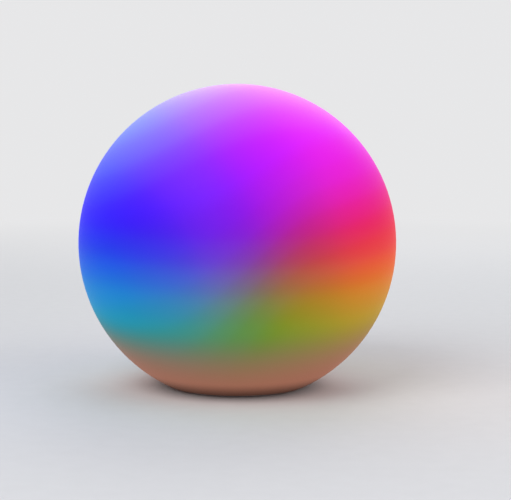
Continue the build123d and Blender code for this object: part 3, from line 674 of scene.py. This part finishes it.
finishes = {
    "globe_plastic": globeMaterial(globeGlow),
    "cell_sleeve": cellMaterial(cellSleeve),
    "board_laminate": boardMaterial(greenBoard),
    "led_board_mask": ringBoardMaterial(ringBoard),
    "cell_silicon": siliconMaterial(solarLook),
    "panel_resin": resinMaterial(resinLook),
}
for makeMaterial, looks in ((mouldedMaterial, mouldings), (metalMaterial, metals), (leadMaterial, leadSkins)):
    for slotName, look in looks.items():
        finishes[slotName] = makeMaterial(slotName, look)
for row in frame["record"]["subparts"]:
    node = frame["nodes"][row["node"]]
    node.data.materials.clear()
    node.data.materials.append(finishes[row["material_slot"]])
print("finishes:", len(finishes), "slots dressed")


# Mesh helpers

weld = 1e-7  # points nearer than this become one
cutSnap = 1e-8


def vertsOf(geom):
    return [item for item in geom if isinstance(item, bmesh.types.BMVert)]


def facing(bm, way):
    # faces that look up for 1, down for -1
    return [face for face in bm.faces if face.normal.z * way > 0.9]


def addLine(bm, points):
    verts = [bm.verts.new(point) for point in points]
    return verts, [bm.edges.new(pair) for pair in zip(verts, verts[1:])]


def addBlock(bm, size, place=(0, 0, 0)):
    verts = bmesh.ops.create_cube(bm, size=1)["verts"]
    bmesh.ops.scale(bm, vec=size, verts=verts)
    bmesh.ops.translate(bm, vec=place, verts=verts)


def roundEdges(bm, edges, offset, segments):
    bmesh.ops.bevel(bm, geom=edges, offset=offset, offset_type="OFFSET", segments=segments, profile=0.5,
                    affect="EDGES", material=-1)


def roundedBlock(size, place, edge):
    bm = bmesh.new()
    addBlock(bm, size, place)
    roundEdges(bm, list(bm.edges), edge, 1)
    return bm


def lathe(points, steps):
    bm = bmesh.new()
    verts, edges = addLine(bm, [(radius, 0, level) for radius, level in points])
    bmesh.ops.spin(bm, geom=verts + edges, cent=(0, 0, 0), axis=(0, 0, 1), angle=2 * math.pi,
                   steps=steps, use_merge=True)
    bmesh.ops.remove_doubles(bm, verts=bm.verts, dist=weld)
    return bm


def windHelix(bm, section, pitch, turns, steps):
    # closed section wound upwards, with both ends filled
    bmesh.ops.spin(bm, geom=section, cent=(0, 0, 0), axis=(0, 0, 1), dvec=(0, 0, pitch / steps),
                   angle=2 * math.pi * turns, steps=turns * steps)
    ends = [edge for edge in bm.edges if edge.is_boundary]
    bmesh.ops.holes_fill(bm, edges=ends, sides=len(vertsOf(section)))


def bentStrip(points, width, thickness):
    # metal strip bent along a line in X and Z
    bm = bmesh.new()
    edges = addLine(bm, [(across, -width / 2, level) for across, level in points])[1]
    wide = bmesh.ops.extrude_edge_only(bm, edges=edges)["geom"]
    bmesh.ops.translate(bm, vec=(0, width, 0), verts=vertsOf(wide))
    bmesh.ops.recalc_face_normals(bm, faces=bm.faces)
    bmesh.ops.solidify(bm, geom=list(bm.faces), thickness=thickness)
    return bm


def sinkCup(bm, place, radius, depth, taper, steps):
    # round hollow in the flat top of a block
    top = max(facing(bm, 1), key=lambda face: face.calc_area())
    rim = list(top.edges)
    bmesh.ops.delete(bm, geom=[top], context="FACES_ONLY")
    lipVerts = bmesh.ops.create_circle(bm, segments=steps, radius=radius, cap_ends=False)["verts"]
    lip = list({edge for vert in lipVerts for edge in vert.link_edges})
    sunk = bmesh.ops.extrude_edge_only(bm, edges=lip)["geom"]
    floor = vertsOf(sunk)
    bmesh.ops.scale(bm, vec=(taper, taper, 1), verts=floor)
    bmesh.ops.translate(bm, vec=(0, 0, -depth), verts=floor)
    bmesh.ops.translate(bm, vec=place, verts=[*lipVerts, *floor])
    bmesh.ops.triangle_fill(bm, edges=rim + lip, use_beauty=True)
    bmesh.ops.contextual_create(bm, geom=[edge for edge in sunk if isinstance(edge, bmesh.types.BMEdge)
                                          and all(vert in floor for vert in edge.verts)])


def cutCross(bm, radius, faceLevel, cut):
    # cross recess upwards into a flat face that looks down
    reach = radius * cut["reach"]
    half = radius * cut["half"]

    def flatFaces():
        return [face for face in bm.faces if face.calc_center_median().z < faceLevel + 0.01 * mm]

    for axis in (Vector((1, 0, 0)), Vector((0, 1, 0))):
        for distance in (-reach, -half, half, reach):
            cap = flatFaces()
            around = {vert for face in cap for vert in face.verts}
            sides = {edge for face in cap for edge in face.edges}
            bmesh.ops.bisect_plane(bm, geom=[*around, *sides, *cap], plane_co=axis * distance, plane_no=axis,
                                   dist=cutSnap)
    cross = []
    for face in flatFaces():
        middle = face.calc_center_median()
        across, along = sorted((abs(middle.x), abs(middle.y)))
        if across < half and along < reach:
            cross.append(face)
    grown = bmesh.ops.extrude_face_region(bm, geom=cross)["geom"]
    bmesh.ops.delete(bm, geom=cross, context="FACES")
    floor = vertsOf(grown)
    bmesh.ops.scale(bm, vec=(cut["taper"], cut["taper"], 1), verts=floor)
    bmesh.ops.translate(bm, vec=(0, 0, radius * cut["depth"]), verts=floor)


def cornerArc(radius, rounding, level):
    # quarter round from a flat face at this level up to the side
    turns = [math.radians(22.5 * index) for index in range(5)]
    return [(radius - rounding + rounding * math.sin(turn), level + rounding - rounding * math.cos(turn))
            for turn in turns]


def groovePoints(middle, half, surface, bottom):
    flare = 1.6 * half
    return [(middle - flare, surface), (middle - half, bottom),
            (middle + half, bottom), (middle + flare, surface)]


def turnedBy(angle, axis="Z"):
    return Matrix.Rotation(math.radians(angle), 4, axis)


def onCircle(radius, angle, level, spin=0.0):
    turn = math.radians(angle)
    return Matrix.Translation((radius * math.cos(turn), radius * math.sin(turn), level)) @ turnedBy(spin)


def underMiddle(low, high):
    return Matrix.Translation(((low.x + high.x) / 2, (low.y + high.y) / 2, low.z))


upsideDown = turnedBy(180, "X")


def repeatShape(bm, places):
    pattern = bpy.data.meshes.new("pattern")
    bm.to_mesh(pattern)
    bm.free()
    whole = bmesh.new()
    for place in places:
        first = len(whole.verts)
        whole.from_mesh(pattern)
        whole.verts.ensure_lookup_table()
        bmesh.ops.transform(whole, matrix=place, verts=whole.verts[first:])
    bpy.data.meshes.remove(pattern)
    return whole


def addPiece(bm, name, body, slotName, material=None, replaced=(), sharpAngle=32):
    bmesh.ops.remove_doubles(bm, verts=bm.verts, dist=weld)
    bmesh.ops.recalc_face_normals(bm, faces=bm.faces)
    mesh = bpy.data.meshes.new(name)
    bm.to_mesh(mesh)
    bm.free()
    mesh.shade_smooth()
    mesh.set_sharp_from_angle(angle=math.radians(sharpAngle))
    mesh.materials.append(material or finishes[slotName])
    piece = addToScene(name, mesh)
    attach(piece, body)
    if replaced:
        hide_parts(*replaced)


# Screws: cross recess, rounded or sunk head, rolled thread

screwLook = {
    "steps": 24,
    "tip": 0.35,  # share of the core's radius
    "threadSteps": 14,
    "threadPitch": 0.47,  # shares of the shank's radius
    "threadDepth": 0.17,
    "threadRoot": 0.97,  # share of the core's radius, so that it is sunk a little
    "threadWidth": 0.7,  # share of the pitch
    "threadGap": 0.4 * mm,  # bare shank at both ends
    "headRim": 0.1 * mm,
    "runOut": 0.3 * mm,
    "recess": {"reach": 0.58, "half": 0.17, "depth": 0.36, "taper": 0.55},  # shares of the head's radius
    "turn": 23,  # degrees from one screw to the next
    "ringTurn": 31,
}


def coreOf(shankRadius):
    return shankRadius * (1 - screwLook["threadDepth"])


def tipPoints(core, length):
    return [(core, length - core), (core * screwLook["tip"], length), (0, length)]


def addThread(bm, shankRadius, start, length):
    core = coreOf(shankRadius)
    root = core * screwLook["threadRoot"]
    pitch = shankRadius * screwLook["threadPitch"]
    width = pitch * screwLook["threadWidth"]
    low = start + screwLook["threadGap"]
    turns = int((length - core - screwLook["threadGap"] - low) / pitch)
    verts, edges = addLine(bm, [(root, 0, low), (shankRadius, 0, low + width / 2), (root, 0, low + width)])
    edges.append(bm.edges.new((verts[2], verts[0])))
    windHelix(bm, verts + edges, pitch, turns, screwLook["threadSteps"])


def panScrew(headRadius, headHeight, shankRadius, length):
    # head face down at -headHeight, shank up to length
    core = coreOf(shankRadius)
    head = cornerArc(headRadius, headHeight / 3, -headHeight)
    points = [(0, -headHeight), *head, (headRadius, 0), (core, 0), *tipPoints(core, length)]
    bm = lathe(points, screwLook["steps"])
    cutCross(bm, headRadius, -headHeight, screwLook["recess"])
    addThread(bm, shankRadius, 0, length)
    return bm


def sunkScrew(headRadius, shankRadius, length):
    # flat head face at zero, cone and shank above it
    core = coreOf(shankRadius)
    rim = screwLook["headRim"]
    neck = headRadius - shankRadius + rim
    points = [(0, 0), (headRadius, 0), (headRadius, rim), (shankRadius, neck),
              (core, neck + screwLook["runOut"]), *tipPoints(core, length)]
    bm = lathe(points, screwLook["steps"])
    cutCross(bm, headRadius, 0, screwLook["recess"])
    addThread(bm, shankRadius, neck, length)
    return bm


def addPanScrews(name, node, head, pointsUp, spots):
    low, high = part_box(node)
    headHeight = head[1]
    places = []
    for index, (radius, angle) in enumerate(spots):
        spin = screwLook["turn"] * index
        if pointsUp:
            places.append(onCircle(radius, angle, low.z + headHeight, spin))
        else:
            places.append(onCircle(radius, angle, high.z - headHeight, spin) @ upsideDown)
    screw = panScrew(*head, high.z - low.z - headHeight)
    addPiece(repeatShape(screw, places), name, "base", "zinc_screw", replaced=[node])


caseHead = (2.8 * mm, 1.8 * mm, 1.5 * mm)  # head radius, head height, shank radius
boardHead = (1.9 * mm, 1.3 * mm, 1.0 * mm)
sunkHead = (2.75 * mm, 1.5 * mm)
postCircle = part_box("tray_screws")[1].x - caseHead[0]
boardAngles = (90, 210, 330)
boardCircle = (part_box("board_screws")[1].x - boardHead[0]) / math.cos(math.radians(boardAngles[2]))
switchFront, switchRear = [corner.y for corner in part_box("switch_screws")]  # outer edges of both heads
postSpots = [(postCircle, angle) for angle in postAngles]
traySpots = [(postCircle, angle) for angle in (0, 180)]
boardSpots = [(boardCircle, angle) for angle in boardAngles]
switchSpots = [(boardHead[0] - switchRear, 270), (-switchFront - boardHead[0], 270)]
panScrews = {  # node, head, whether it points up, radius and angle of each screw
    "coverScrewsThreaded": ("cover_screws", caseHead, True, postSpots),
    "deckScrewsThreaded": ("deck_screws", caseHead, False, postSpots),
    "trayScrewsThreaded": ("tray_screws", caseHead, True, traySpots),
    "boardScrewsThreaded": ("board_screws", boardHead, True, boardSpots),
    "switchScrewsThreaded": ("switch_screws", boardHead, False, switchSpots),
}
for name, row in panScrews.items():
    addPanScrews(name, *row)

ringLow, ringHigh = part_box("ring_screws")
ringCircle = ringHigh.x - sunkHead[0]
ringPlaces = [onCircle(ringCircle, 90 * index, ringLow.z, screwLook["ringTurn"] * index)
              for index in range(4)]
addPiece(repeatShape(sunkScrew(*sunkHead, ringHigh.z - ringLow.z), ringPlaces), "ringScrewsThreaded",
         "globe", "zinc_screw", replaced=["ring_screws"])
print("screws:", len(panScrews) + 1, "kinds")


# LED packages on their ring

ledLow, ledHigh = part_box("led_packages")
ledCircle = ledHigh.x - ledLook["size"] / 2
ledHeight = ledHigh.z - ledLow.z
ledAngles = [360 / ledLook["places"] * index for index in range(ledLook["places"])]
ledAngles = [angle for angle in ledAngles if angle not in postAngles]
ledPlaces = [onCircle(ledCircle, angle, ledLow.z, angle) for angle in ledAngles]


def ledBody(look):
    bm = bmesh.new()
    addBlock(bm, (look["size"], look["size"], ledHeight), (0, 0, ledHeight / 2))
    upright = [edge for edge in bm.edges if abs(edge.verts[0].co.z - edge.verts[1].co.z) > ledHeight / 2]
    roundEdges(bm, upright, look["edge"], 3)
    sinkCup(bm, (0, 0, ledHeight), look["cupRadius"], look["cupDepth"], look["cupTaper"], look["steps"])
    return bm


def ledLens(look):
    radius = look["cupRadius"] * look["cupTaper"]
    level = ledHeight - look["cupDepth"]
    points = [(radius * share, level + height) for share, height in look["lens"]]
    return lathe([*points, (points[-1][0], level), (0, level)], look["steps"])


def ledTabs(look):
    bm = bmesh.new()
    width, depth, height = look["tab"]
    for side in (-1, 1):
        for along in (-1, 1):
            place = (side * look["size"] / 2, along * look["tabSpread"], height / 2)
            addBlock(bm, (depth, width, height), place)
    roundEdges(bm, list(bm.edges), look["tabEdge"], 2)
    return bm


addPiece(repeatShape(ledBody(ledLook), ledPlaces), "ledBodies", "base", "led_body", replaced=["led_packages"])
addPiece(repeatShape(ledLens(ledLook), ledPlaces), "ledLenses", "base", "led_body",
         material=lensMaterial(ledLook))
addPiece(repeatShape(ledTabs(ledLook), ledPlaces), "ledTabs", "base", "contact_nickel")
print("LEDs:", len(ledPlaces), "packages")


# Ribbons that join the solar cells

def cellRibbons(look):
    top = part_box("solar_cells")[1]
    count, gap, height = look["strips"], look["stripGap"], look["ribbonHeight"]
    width = (2 * top.y - (count - 1) * gap) / count
    bm = bmesh.new()
    for index in range(count):
        middle = (index - (count - 1) / 2) * (width + gap)
        edge = abs(middle) + look["ribbonWidth"]
        length = 2 * math.sqrt(top.y**2 - edge**2) - look["ribbonShort"]
        addBlock(bm, (look["ribbonWidth"], length, height), (middle, 0, top.z + height / 2))
    roundEdges(bm, list(bm.edges), look["ribbonEdge"], 1)
    return bm


addPiece(cellRibbons(solarLook), "cellRibbons", "base", "contact_nickel")
print("solar panel: ribbons laid")


# Feet with grip rings under them

footLook = {
    "radius": 5.0 * mm,
    "rounding": 0.5 * mm,
    "grooves": (1.6 * mm, 3.0 * mm),
    "grooveHalf": 0.25 * mm,
    "grooveDepth": 0.35 * mm,
    "count": 4,
    "startAngle": 45,
    "steps": 40,
}
footLow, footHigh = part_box("rubber_feet")


def gripFoot(look):
    height = footHigh.z - footLow.z
    points = [(0, 0)]
    for groove in look["grooves"]:
        points += groovePoints(groove, look["grooveHalf"], 0, look["grooveDepth"])
    points += [*cornerArc(look["radius"], look["rounding"], 0), (look["radius"], height), (0, height)]
    return lathe(points, look["steps"])


footCircle = (footHigh.x - footLook["radius"]) * math.sqrt(2)
footPlaces = [onCircle(footCircle, footLook["startAngle"] + 90 * index, footLow.z)
              for index in range(footLook["count"])]
addPiece(repeatShape(gripFoot(footLook), footPlaces), "gripFeet", "base", "foot_rubber",
         replaced=["rubber_feet"])
print("feet: grip rings cut")


# Neck seal with two grooves that leave three sealing beads

sealLook = {
    "width": 3.8 * mm,
    "grooves": (1.15 * mm, 2.65 * mm),
    "grooveHalf": 0.25 * mm,
    "grooveDepth": 0.3 * mm,
    "steps": 144,
}


def groovedSeal(look):
    low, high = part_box("neck_seal")
    inner, outer = high.x - look["width"], high.x
    bottom = high.z - look["grooveDepth"]
    points = [(inner, high.z), (inner, low.z), (outer, low.z), (outer, high.z)]
    for groove in reversed(look["grooves"]):
        points += reversed(groovePoints(inner + groove, look["grooveHalf"], high.z, bottom))
    return lathe([*points, (inner, high.z)], look["steps"])


addPiece(groovedSeal(sealLook), "sealGrooved", "seal", "seal_silicone", replaced=["neck_seal"])
print("seal: grooves cut")


# Controller chip with bent pins and the hollow that marks its first pin

chipLook = {
    "draft": 0.94,  # moulded sides lean in from the parting line
    "edge": 0.12 * mm,
    "hollow": (0.6 * mm, 0.15 * mm, 0.8, 20),  # radius, depth, taper, steps
    "hollowInset": 1.6 * mm,
    "pins": 8,
    "pinPitch": 1.2 * mm,
    "pinWidth": 0.45 * mm,
    "pinThickness": 0.2 * mm,
    "pinReach": (0.3 * mm, 0.55 * mm, 1.2 * mm),  # bend, foot and end, measured from the side
}
chipLow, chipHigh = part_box("controller_chip")
chipSize = chipHigh - chipLow
chipPlace = underMiddle(chipLow, chipHigh)


def chipBody(look):
    bm = bmesh.new()
    addBlock(bm, chipSize)
    bmesh.ops.bisect_plane(bm, geom=[*bm.verts, *bm.edges, *bm.faces], plane_co=(0, 0, 0), plane_no=(0, 0, 1))
    ends = [vert for vert in bm.verts if abs(vert.co.z) > chipSize.z / 4]
    bmesh.ops.scale(bm, vec=(look["draft"], look["draft"], 1), verts=ends)
    roundEdges(bm, list(bm.edges), look["edge"], 2)
    bmesh.ops.translate(bm, vec=(0, 0, chipSize.z / 2), verts=bm.verts)
    inset = look["hollowInset"]
    sinkCup(bm, (inset - chipSize.x / 2, inset - chipSize.y / 2, chipSize.z), *look["hollow"])
    return repeatShape(bm, [chipPlace])


def chipPins(look):
    side, middle = chipSize.y / 2, chipSize.z / 2
    bend, foot, end = look["pinReach"]
    thickness = look["pinThickness"]
    line = [(side - bend, middle), (side + bend, middle), (side + foot, thickness), (side + end, thickness)]
    places = []
    for index in range(look["pins"]):
        along = (index - (look["pins"] - 1) / 2) * look["pinPitch"]
        for turn in (90, -90):
            places.append(chipPlace @ turnedBy(turn) @ Matrix.Translation((0, along, 0)))
    return repeatShape(bentStrip(line, look["pinWidth"], thickness), places)


addPiece(chipBody(chipLook), "chipMoulded", "base", "chip_epoxy", replaced=["controller_chip"])
addPiece(chipPins(chipLook), "chipPins", "base", "contact_nickel")
print("chip:", 2 * chipLook["pins"], "pins")


# Push switch: two moulded halves, the plunger's slot below, bent metal clip

switchLook = {
    "slot": 3.2 * mm,
    "slotDepth": 5.5 * mm,
    "edge": 0.25 * mm,
    "seam": (4.2 * mm, 0.15 * mm, 0.95),  # height, half width, share of the size that is left
    "clipWidth": 4.6 * mm,
    "clipThickness": 0.25 * mm,
    "clipGap": 0.3 * mm,
    "clipReach": 2.2 * mm,  # how near its folded ends come to the middle
    "clipTop": 0.6 * mm,  # below the board
}
switchLow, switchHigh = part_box("push_switch")
switchSize = switchHigh - switchLow
switchPlace = underMiddle(switchLow, switchHigh)


def switchBody(look):
    bm = bmesh.new()
    addBlock(bm, switchSize, (0, 0, switchSize.z / 2))
    under = facing(bm, -1)
    bmesh.ops.inset_region(bm, faces=under, thickness=(switchSize.x - look["slot"]) / 2, use_even_offset=True)
    grown = bmesh.ops.extrude_face_region(bm, geom=under)["geom"]
    bmesh.ops.delete(bm, geom=under, context="FACES")
    bmesh.ops.translate(bm, vec=(0, 0, look["slotDepth"]), verts=vertsOf(grown))
    outer = [edge for edge in bm.edges if all(abs(vert.co.x) > look["slot"] for vert in edge.verts)]
    roundEdges(bm, outer, look["edge"], 2)
    level, half, share = look["seam"]
    for step in (-2, -1, 1, 2):
        bmesh.ops.bisect_plane(bm, geom=[*bm.verts, *bm.edges, *bm.faces], dist=cutSnap,
                               plane_co=(0, 0, level + step * half), plane_no=(0, 0, 1))
    # the outer wall is drawn in, and the slot stays as it is
    seam = [vert for vert in bm.verts if abs(vert.co.z - level) < 1.5 * half
            and max(abs(vert.co.x), abs(vert.co.y)) > look["slot"]]
    bmesh.ops.scale(bm, vec=(share, share, 1), verts=seam)
    return repeatShape(bm, [switchPlace])


def switchClip(look):
    gap = look["clipGap"]
    side = switchSize.x / 2 + gap
    line = [(side, switchSize.z - look["clipTop"]), (side, -gap), (look["clipReach"], -gap)]
    strip = bentStrip(line, look["clipWidth"], look["clipThickness"])
    return repeatShape(strip, [switchPlace @ turnedBy(turn) for turn in (0, 180)])


addPiece(switchBody(switchLook), "switchMoulded", "base", "switch_plastic", replaced=["push_switch"])
addPiece(switchClip(switchLook), "switchClip", "base", "contact_nickel")
print("switch: seam and clip")


# Copper winding between the cheeks of the charging coil

coilLook = {
    "wire": 0.25 * mm,
    "pitch": 2.06,  # times the wire's radius, so that its turns just clear each other
    "waist": 0.9 * mm,
    "cheek": 1.0 * mm,
    "wireSides": 8,
    "steps": 28,
    "copper": ((0.70, 0.29, 0.11), (0.24, 0.38), (500, 500, 2600)),
}


def coilWinding(look):
    low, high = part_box("charge_coil")
    wire = look["wire"]
    radius = (high.x - low.x) / 2 - look["waist"] + wire
    pitch = look["pitch"] * wire
    turns = int((high.z - low.z - 2 * look["cheek"]) / pitch) - 1
    bm = bmesh.new()
    ring = bmesh.ops.create_circle(bm, segments=look["wireSides"], radius=wire, cap_ends=False)["verts"]
    bmesh.ops.rotate(bm, cent=(0, 0, 0), matrix=Matrix.Rotation(math.pi / 2, 3, "X"), verts=ring)
    bmesh.ops.translate(bm, vec=(radius, 0, look["cheek"] + wire), verts=ring)
    windHelix(bm, [*bm.verts, *bm.edges], pitch, turns, look["steps"])
    return repeatShape(bm, [underMiddle(low, high)])


addPiece(coilWinding(coilLook), "coilWinding", "base", "coil_ferrite",
         material=metalMaterial("coilCopper", coilLook["copper"]))
print("coil: wound")


# Storage capacitor: sleeved can, rolled groove, scored vent on top

capacitorLook = {
    "sleeve": (0.018, 0.030, 0.085),
    "stripe": (0.50, 0.52, 0.55),
    "stripeShare": 0.06,  # of the way round, on each side of its middle
    "stripeFade": 0.004,
    "metal": (0.70, 0.70, 0.72),
    "metalFade": 0.05 * mm,
    "scuff": 900,
    "gloss": (0.24, 0.40),
    "bump": (0.08, 0.1 * mm),
    "lip": 0.8 * mm,
    "lipDrop": 0.2 * mm,
    "lipArc": ((0.8, 0), (0.4, 0), (0.12, 0.15), (0, 0.5)),  # shares of the lip, inwards and down
    "groove": (1.1 * mm, 0.3 * mm),  # height above the board, depth
    "vent": {"reach": 0.56, "half": 0.035, "depth": 0.05, "taper": 0.98},  # shares of the radius
    "steps": 40,
}
canLow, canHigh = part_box("storage_capacitor")
canRadius = (canHigh.x - canLow.x) / 2
canMiddle = (canLow + canHigh) / 2


def capacitorCan(look):
    # made top down, so that the vent is cut as a screw's recess is
    height = canHigh.z - canLow.z
    lip, drop = look["lip"], look["lipDrop"]
    rise, depth = look["groove"]
    groove, inner = height - rise, canRadius - depth
    points = [(0, drop), (canRadius - lip, drop)]
    points += [(canRadius - lip * inwards, lip * down) for inwards, down in look["lipArc"]]
    points += [(canRadius, groove - 2 * depth), (inner, groove - depth / 2), (inner, groove + depth / 2),
               (canRadius, groove + 2 * depth), (canRadius, height - depth), (inner, height), (0, height)]
    bm = lathe(points, look["steps"])
    cutCross(bm, canRadius, drop, look["vent"])
    return repeatShape(bm, [Matrix.Translation((canMiddle.x, canMiddle.y, canHigh.z)) @ upsideDown])


def capacitorMaterial(look):
    material, shader, coords = startMaterial("capacitorSleeve")
    centred = mapOf(coords, Location=(-canMiddle.x, -canMiddle.y, 0))
    aside = mathOf("ABSOLUTE", mathOf("SUBTRACT", circleOf(centred), 0.5))
    striped = rangeOf(aside, look["stripeShare"], look["stripeShare"] + look["stripeFade"], 1, 0)
    painted = mixOf(striped, look["sleeve"], look["stripe"])
    edge = canRadius - look["lip"]
    bare = rangeOf(radiusOf(centred), edge, edge + look["metalFade"], 1, 0)
    scuff = noiseOf(coords, look["scuff"], 3)
    fill(shader, {
        "Base Color": mixOf(bare, painted, look["metal"]),
        "Metallic": bare,
        "Roughness": spreadOf(scuff, *look["gloss"]),
        "Normal": bumpOf(scuff, *look["bump"]),
    })
    return material


addPiece(capacitorCan(capacitorLook), "capacitorSleeved", "base", "capacitor_can",
         material=capacitorMaterial(capacitorLook), replaced=["storage_capacitor"])
print("capacitor: vent scored")


# Cells: sleeve turned over both ends, bead near the nub

cellShape = {
    "edge": 0.55 * mm,
    "edgeShare": 0.3,  # where its rounding has a point between both ends
    "endRadius": 5.3 * mm,  # bare metal inside the sleeve's edge
    "endRise": 0.05 * mm,
    "endSink": 0.12 * mm,
    "bead": (2.4 * mm, 0.25 * mm),  # distance from the nub's end, depth
    "nub": (2.75 * mm, 1.2 * mm),
    "nubEdge": 0.3 * mm,
    "steps": 48,
}
sleevedCells = {  # node, and the side of its flat end: 1 at the back, -1 in front
    "cellLeftSleeved": ("battery_cell_left", 1),
    "cellRightSleeved": ("battery_cell_right", -1),
}


def sleevedCell(look, radius, length):
    # stands on its flat end, with the nub on top
    edge, sink, end = look["edge"], look["endSink"], look["endRadius"]
    turn = edge * look["edgeShare"]
    nubRadius, nubLength = look["nub"]
    nubEdge = look["nubEdge"]
    top = length - nubLength
    fromTop, deep = look["bead"]
    bead = top - fromTop
    points = [(0, 0), (end - sink, 0), (end, sink), (end + sink, sink / 2),
              (radius - edge, look["endRise"]), (radius - turn, turn), (radius, edge),
              (radius, bead - 3 * deep), (radius - deep, bead - deep),
              (radius - deep, bead + deep), (radius, bead + 3 * deep),
              (radius, top - edge), (radius - turn, top - turn), (radius - edge, top),
              (end, top), (end - sink, top - sink), (nubRadius + sink, top - sink), (nubRadius, top),
              (nubRadius, length - nubEdge), (nubRadius - nubEdge, length), (0, length)]
    return lathe(points, look["steps"])


for name, (node, flatSide) in sleevedCells.items():
    low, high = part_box(node)
    middle = (low + high) / 2
    flatEnd = high.y if flatSide > 0 else low.y
    laid = Matrix.Translation((middle.x, flatEnd, middle.z)) @ turnedBy(90 * flatSide, "X")
    cell = sleevedCell(cellShape, (high.x - low.x) / 2, high.y - low.y)
    addPiece(repeatShape(cell, [laid]), name, "base", "cell_sleeve", replaced=[node])
print("cells: sleeved")


# Brass inserts: straight knurl above and below the keying groove

insertLook = {
    "radius": 3.0 * mm,
    "hole": 1.5 * mm,
    "grooveHalf": 0.8 * mm,
    "grooveDepth": 0.4 * mm,
    "chamfer": 0.3 * mm,
    "teeth": 24,
    "toothShare": 0.94,
    "sharpAngle": 20,
}
insertLow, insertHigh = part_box("brass_inserts")


def knurledInsert(look):
    length = insertHigh.z - insertLow.z
    hole, radius, chamfer = look["hole"], look["radius"], look["chamfer"]
    inner = radius - look["grooveDepth"]
    low, high = length / 2 - look["grooveHalf"], length / 2 + look["grooveHalf"]
    points = [(hole, 0), (inner, 0), (radius, chamfer), (radius, low - chamfer / 2), (inner, low),
              (inner, high), (radius, high + chamfer / 2), (radius, length - chamfer), (inner, length),
              (hole, length), (hole, 0)]
    bm = lathe(points, 2 * look["teeth"])
    valleys = []
    for vert in bm.verts:
        step = round(math.atan2(vert.co.y, vert.co.x) / math.pi * look["teeth"])
        if step % 2 and math.hypot(vert.co.x, vert.co.y) > (inner + radius) / 2:
            valleys.append(vert)
    bmesh.ops.scale(bm, vec=(look["toothShare"], look["toothShare"], 1), verts=valleys)
    return bm


insertCircle = insertHigh.x - insertLook["radius"]
insertPlaces = [onCircle(insertCircle, 90 * index, insertLow.z) for index in range(4)]
addPiece(repeatShape(knurledInsert(insertLook), insertPlaces), "insertsKnurled", "globe", "insert_brass",
         replaced=["brass_inserts"], sharpAngle=insertLook["sharpAngle"])
print("inserts: knurled")


# Small parts and solder on the boards, places in mm and degrees

boardLow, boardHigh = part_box("control_board")
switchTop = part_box("switch_board")[1].z
switchMiddle = (switchLow.y + switchHigh.y) / (2 * mm)
smallParts = {
    "size": (1.6 * mm, 0.8 * mm, 0.45 * mm),
    "cap": 0.35 * mm,
    "proud": 0.03 * mm,  # the metal ends stand out this far
    "edge": 0.05 * mm,
    "ringOffset": 7.5,  # from each LED
    "board": ((-14, 15.5, 90), (-11, 15.5, 90), (-8, 15.5, 90), (-5, 15.5, 90), (8, 15.5, 0),
              (11.5, 15.5, 0), (-12, -8, 90), (-9, -8, 90), (-6, -8, 90), (6, -8, 90), (9, -8, 90),
              (12, -8, 0)),
}
solderLook = {
    "lead": (1.25 * mm, 0.74 * mm, 0.7 * mm),  # foot, neck and height of a joint
    "pin": (0.8 * mm, 0.34 * mm, 0.7 * mm),
    "foot": (0.94, 0.08),  # shares of the foot and the height
    "flow": (0.3, 0.6, 0.85),  # shares of the height where its curve has points
    "curve": 2.2,
    "steps": 18,
    "boardTop": ((-5, 0), (5, 0), (36, -4.5), (36, -1.5), (36, 1.5), (36, 4.5)),  # panel and LED leads
    "boardUnder": ((-19, -23), (19, -23), (-6, switchMiddle), (6, switchMiddle)),  # battery and switch leads
    "switchTop": ((-3.5, switchMiddle), (3.5, switchMiddle)),
    "switchPins": [(across, switchMiddle + along) for across in (-2, 0, 2) for along in (-2.5, 2.5)],
}


def partBody(look):
    length, width, height = look["size"]
    return roundedBlock((length - look["cap"], width, height), (0, 0, height / 2), look["edge"])


def partEnds(look):
    length, width, height = look["size"]
    cap, proud = look["cap"], look["proud"]
    end = roundedBlock((cap, width + proud, height + proud), (0, 0, (height + proud) / 2), look["edge"])
    reach = (length - cap) / 2
    return repeatShape(end, [Matrix.Translation((side * reach, 0, 0)) for side in (-1, 1)])


def solderJoint(look, kind):
    foot, neck, height = look[kind]
    footShare, heightShare = look["foot"]
    points = [(0, 0), (foot, 0), (foot * footShare, height * heightShare)]
    for share in look["flow"]:
        points.append((neck + (foot - neck) * (1 - share) ** look["curve"], height * share))
    return lathe([*points, (neck, height), (0, height)], look["steps"])


def spotsOf(kind, level):
    return [Matrix.Translation((across * mm, along * mm, level)) for across, along in solderLook[kind]]


partAngles = [angle + smallParts["ringOffset"] for angle in ledAngles]
partPlaces = [onCircle(ledCircle, angle, ledLow.z, angle) for angle in partAngles]
for across, along, turn in smallParts["board"]:
    partPlaces.append(Matrix.Translation((across * mm, along * mm, boardHigh.z)) @ turnedBy(turn))
addPiece(repeatShape(partBody(smallParts), partPlaces), "resistorBodies", "base", "chip_epoxy")
addPiece(repeatShape(partEnds(smallParts), partPlaces), "resistorEnds", "base", "contact_nickel")

jointPlaces = spotsOf("boardTop", boardHigh.z)
jointPlaces += [spot @ upsideDown for spot in spotsOf("boardUnder", boardLow.z)]
jointPlaces += spotsOf("switchTop", switchTop)
pinPlaces = spotsOf("switchPins", switchTop)
addPiece(repeatShape(solderJoint(solderLook, "lead"), jointPlaces), "leadSolder", "base", "contact_nickel")
addPiece(repeatShape(solderJoint(solderLook, "pin"), pinPlaces), "switchSolder", "base", "contact_nickel")
print("boards:", len(partPlaces), "small parts,", len(jointPlaces) + len(pinPlaces), "solder joints")


addCamera(photoView)
addStudio(studio)
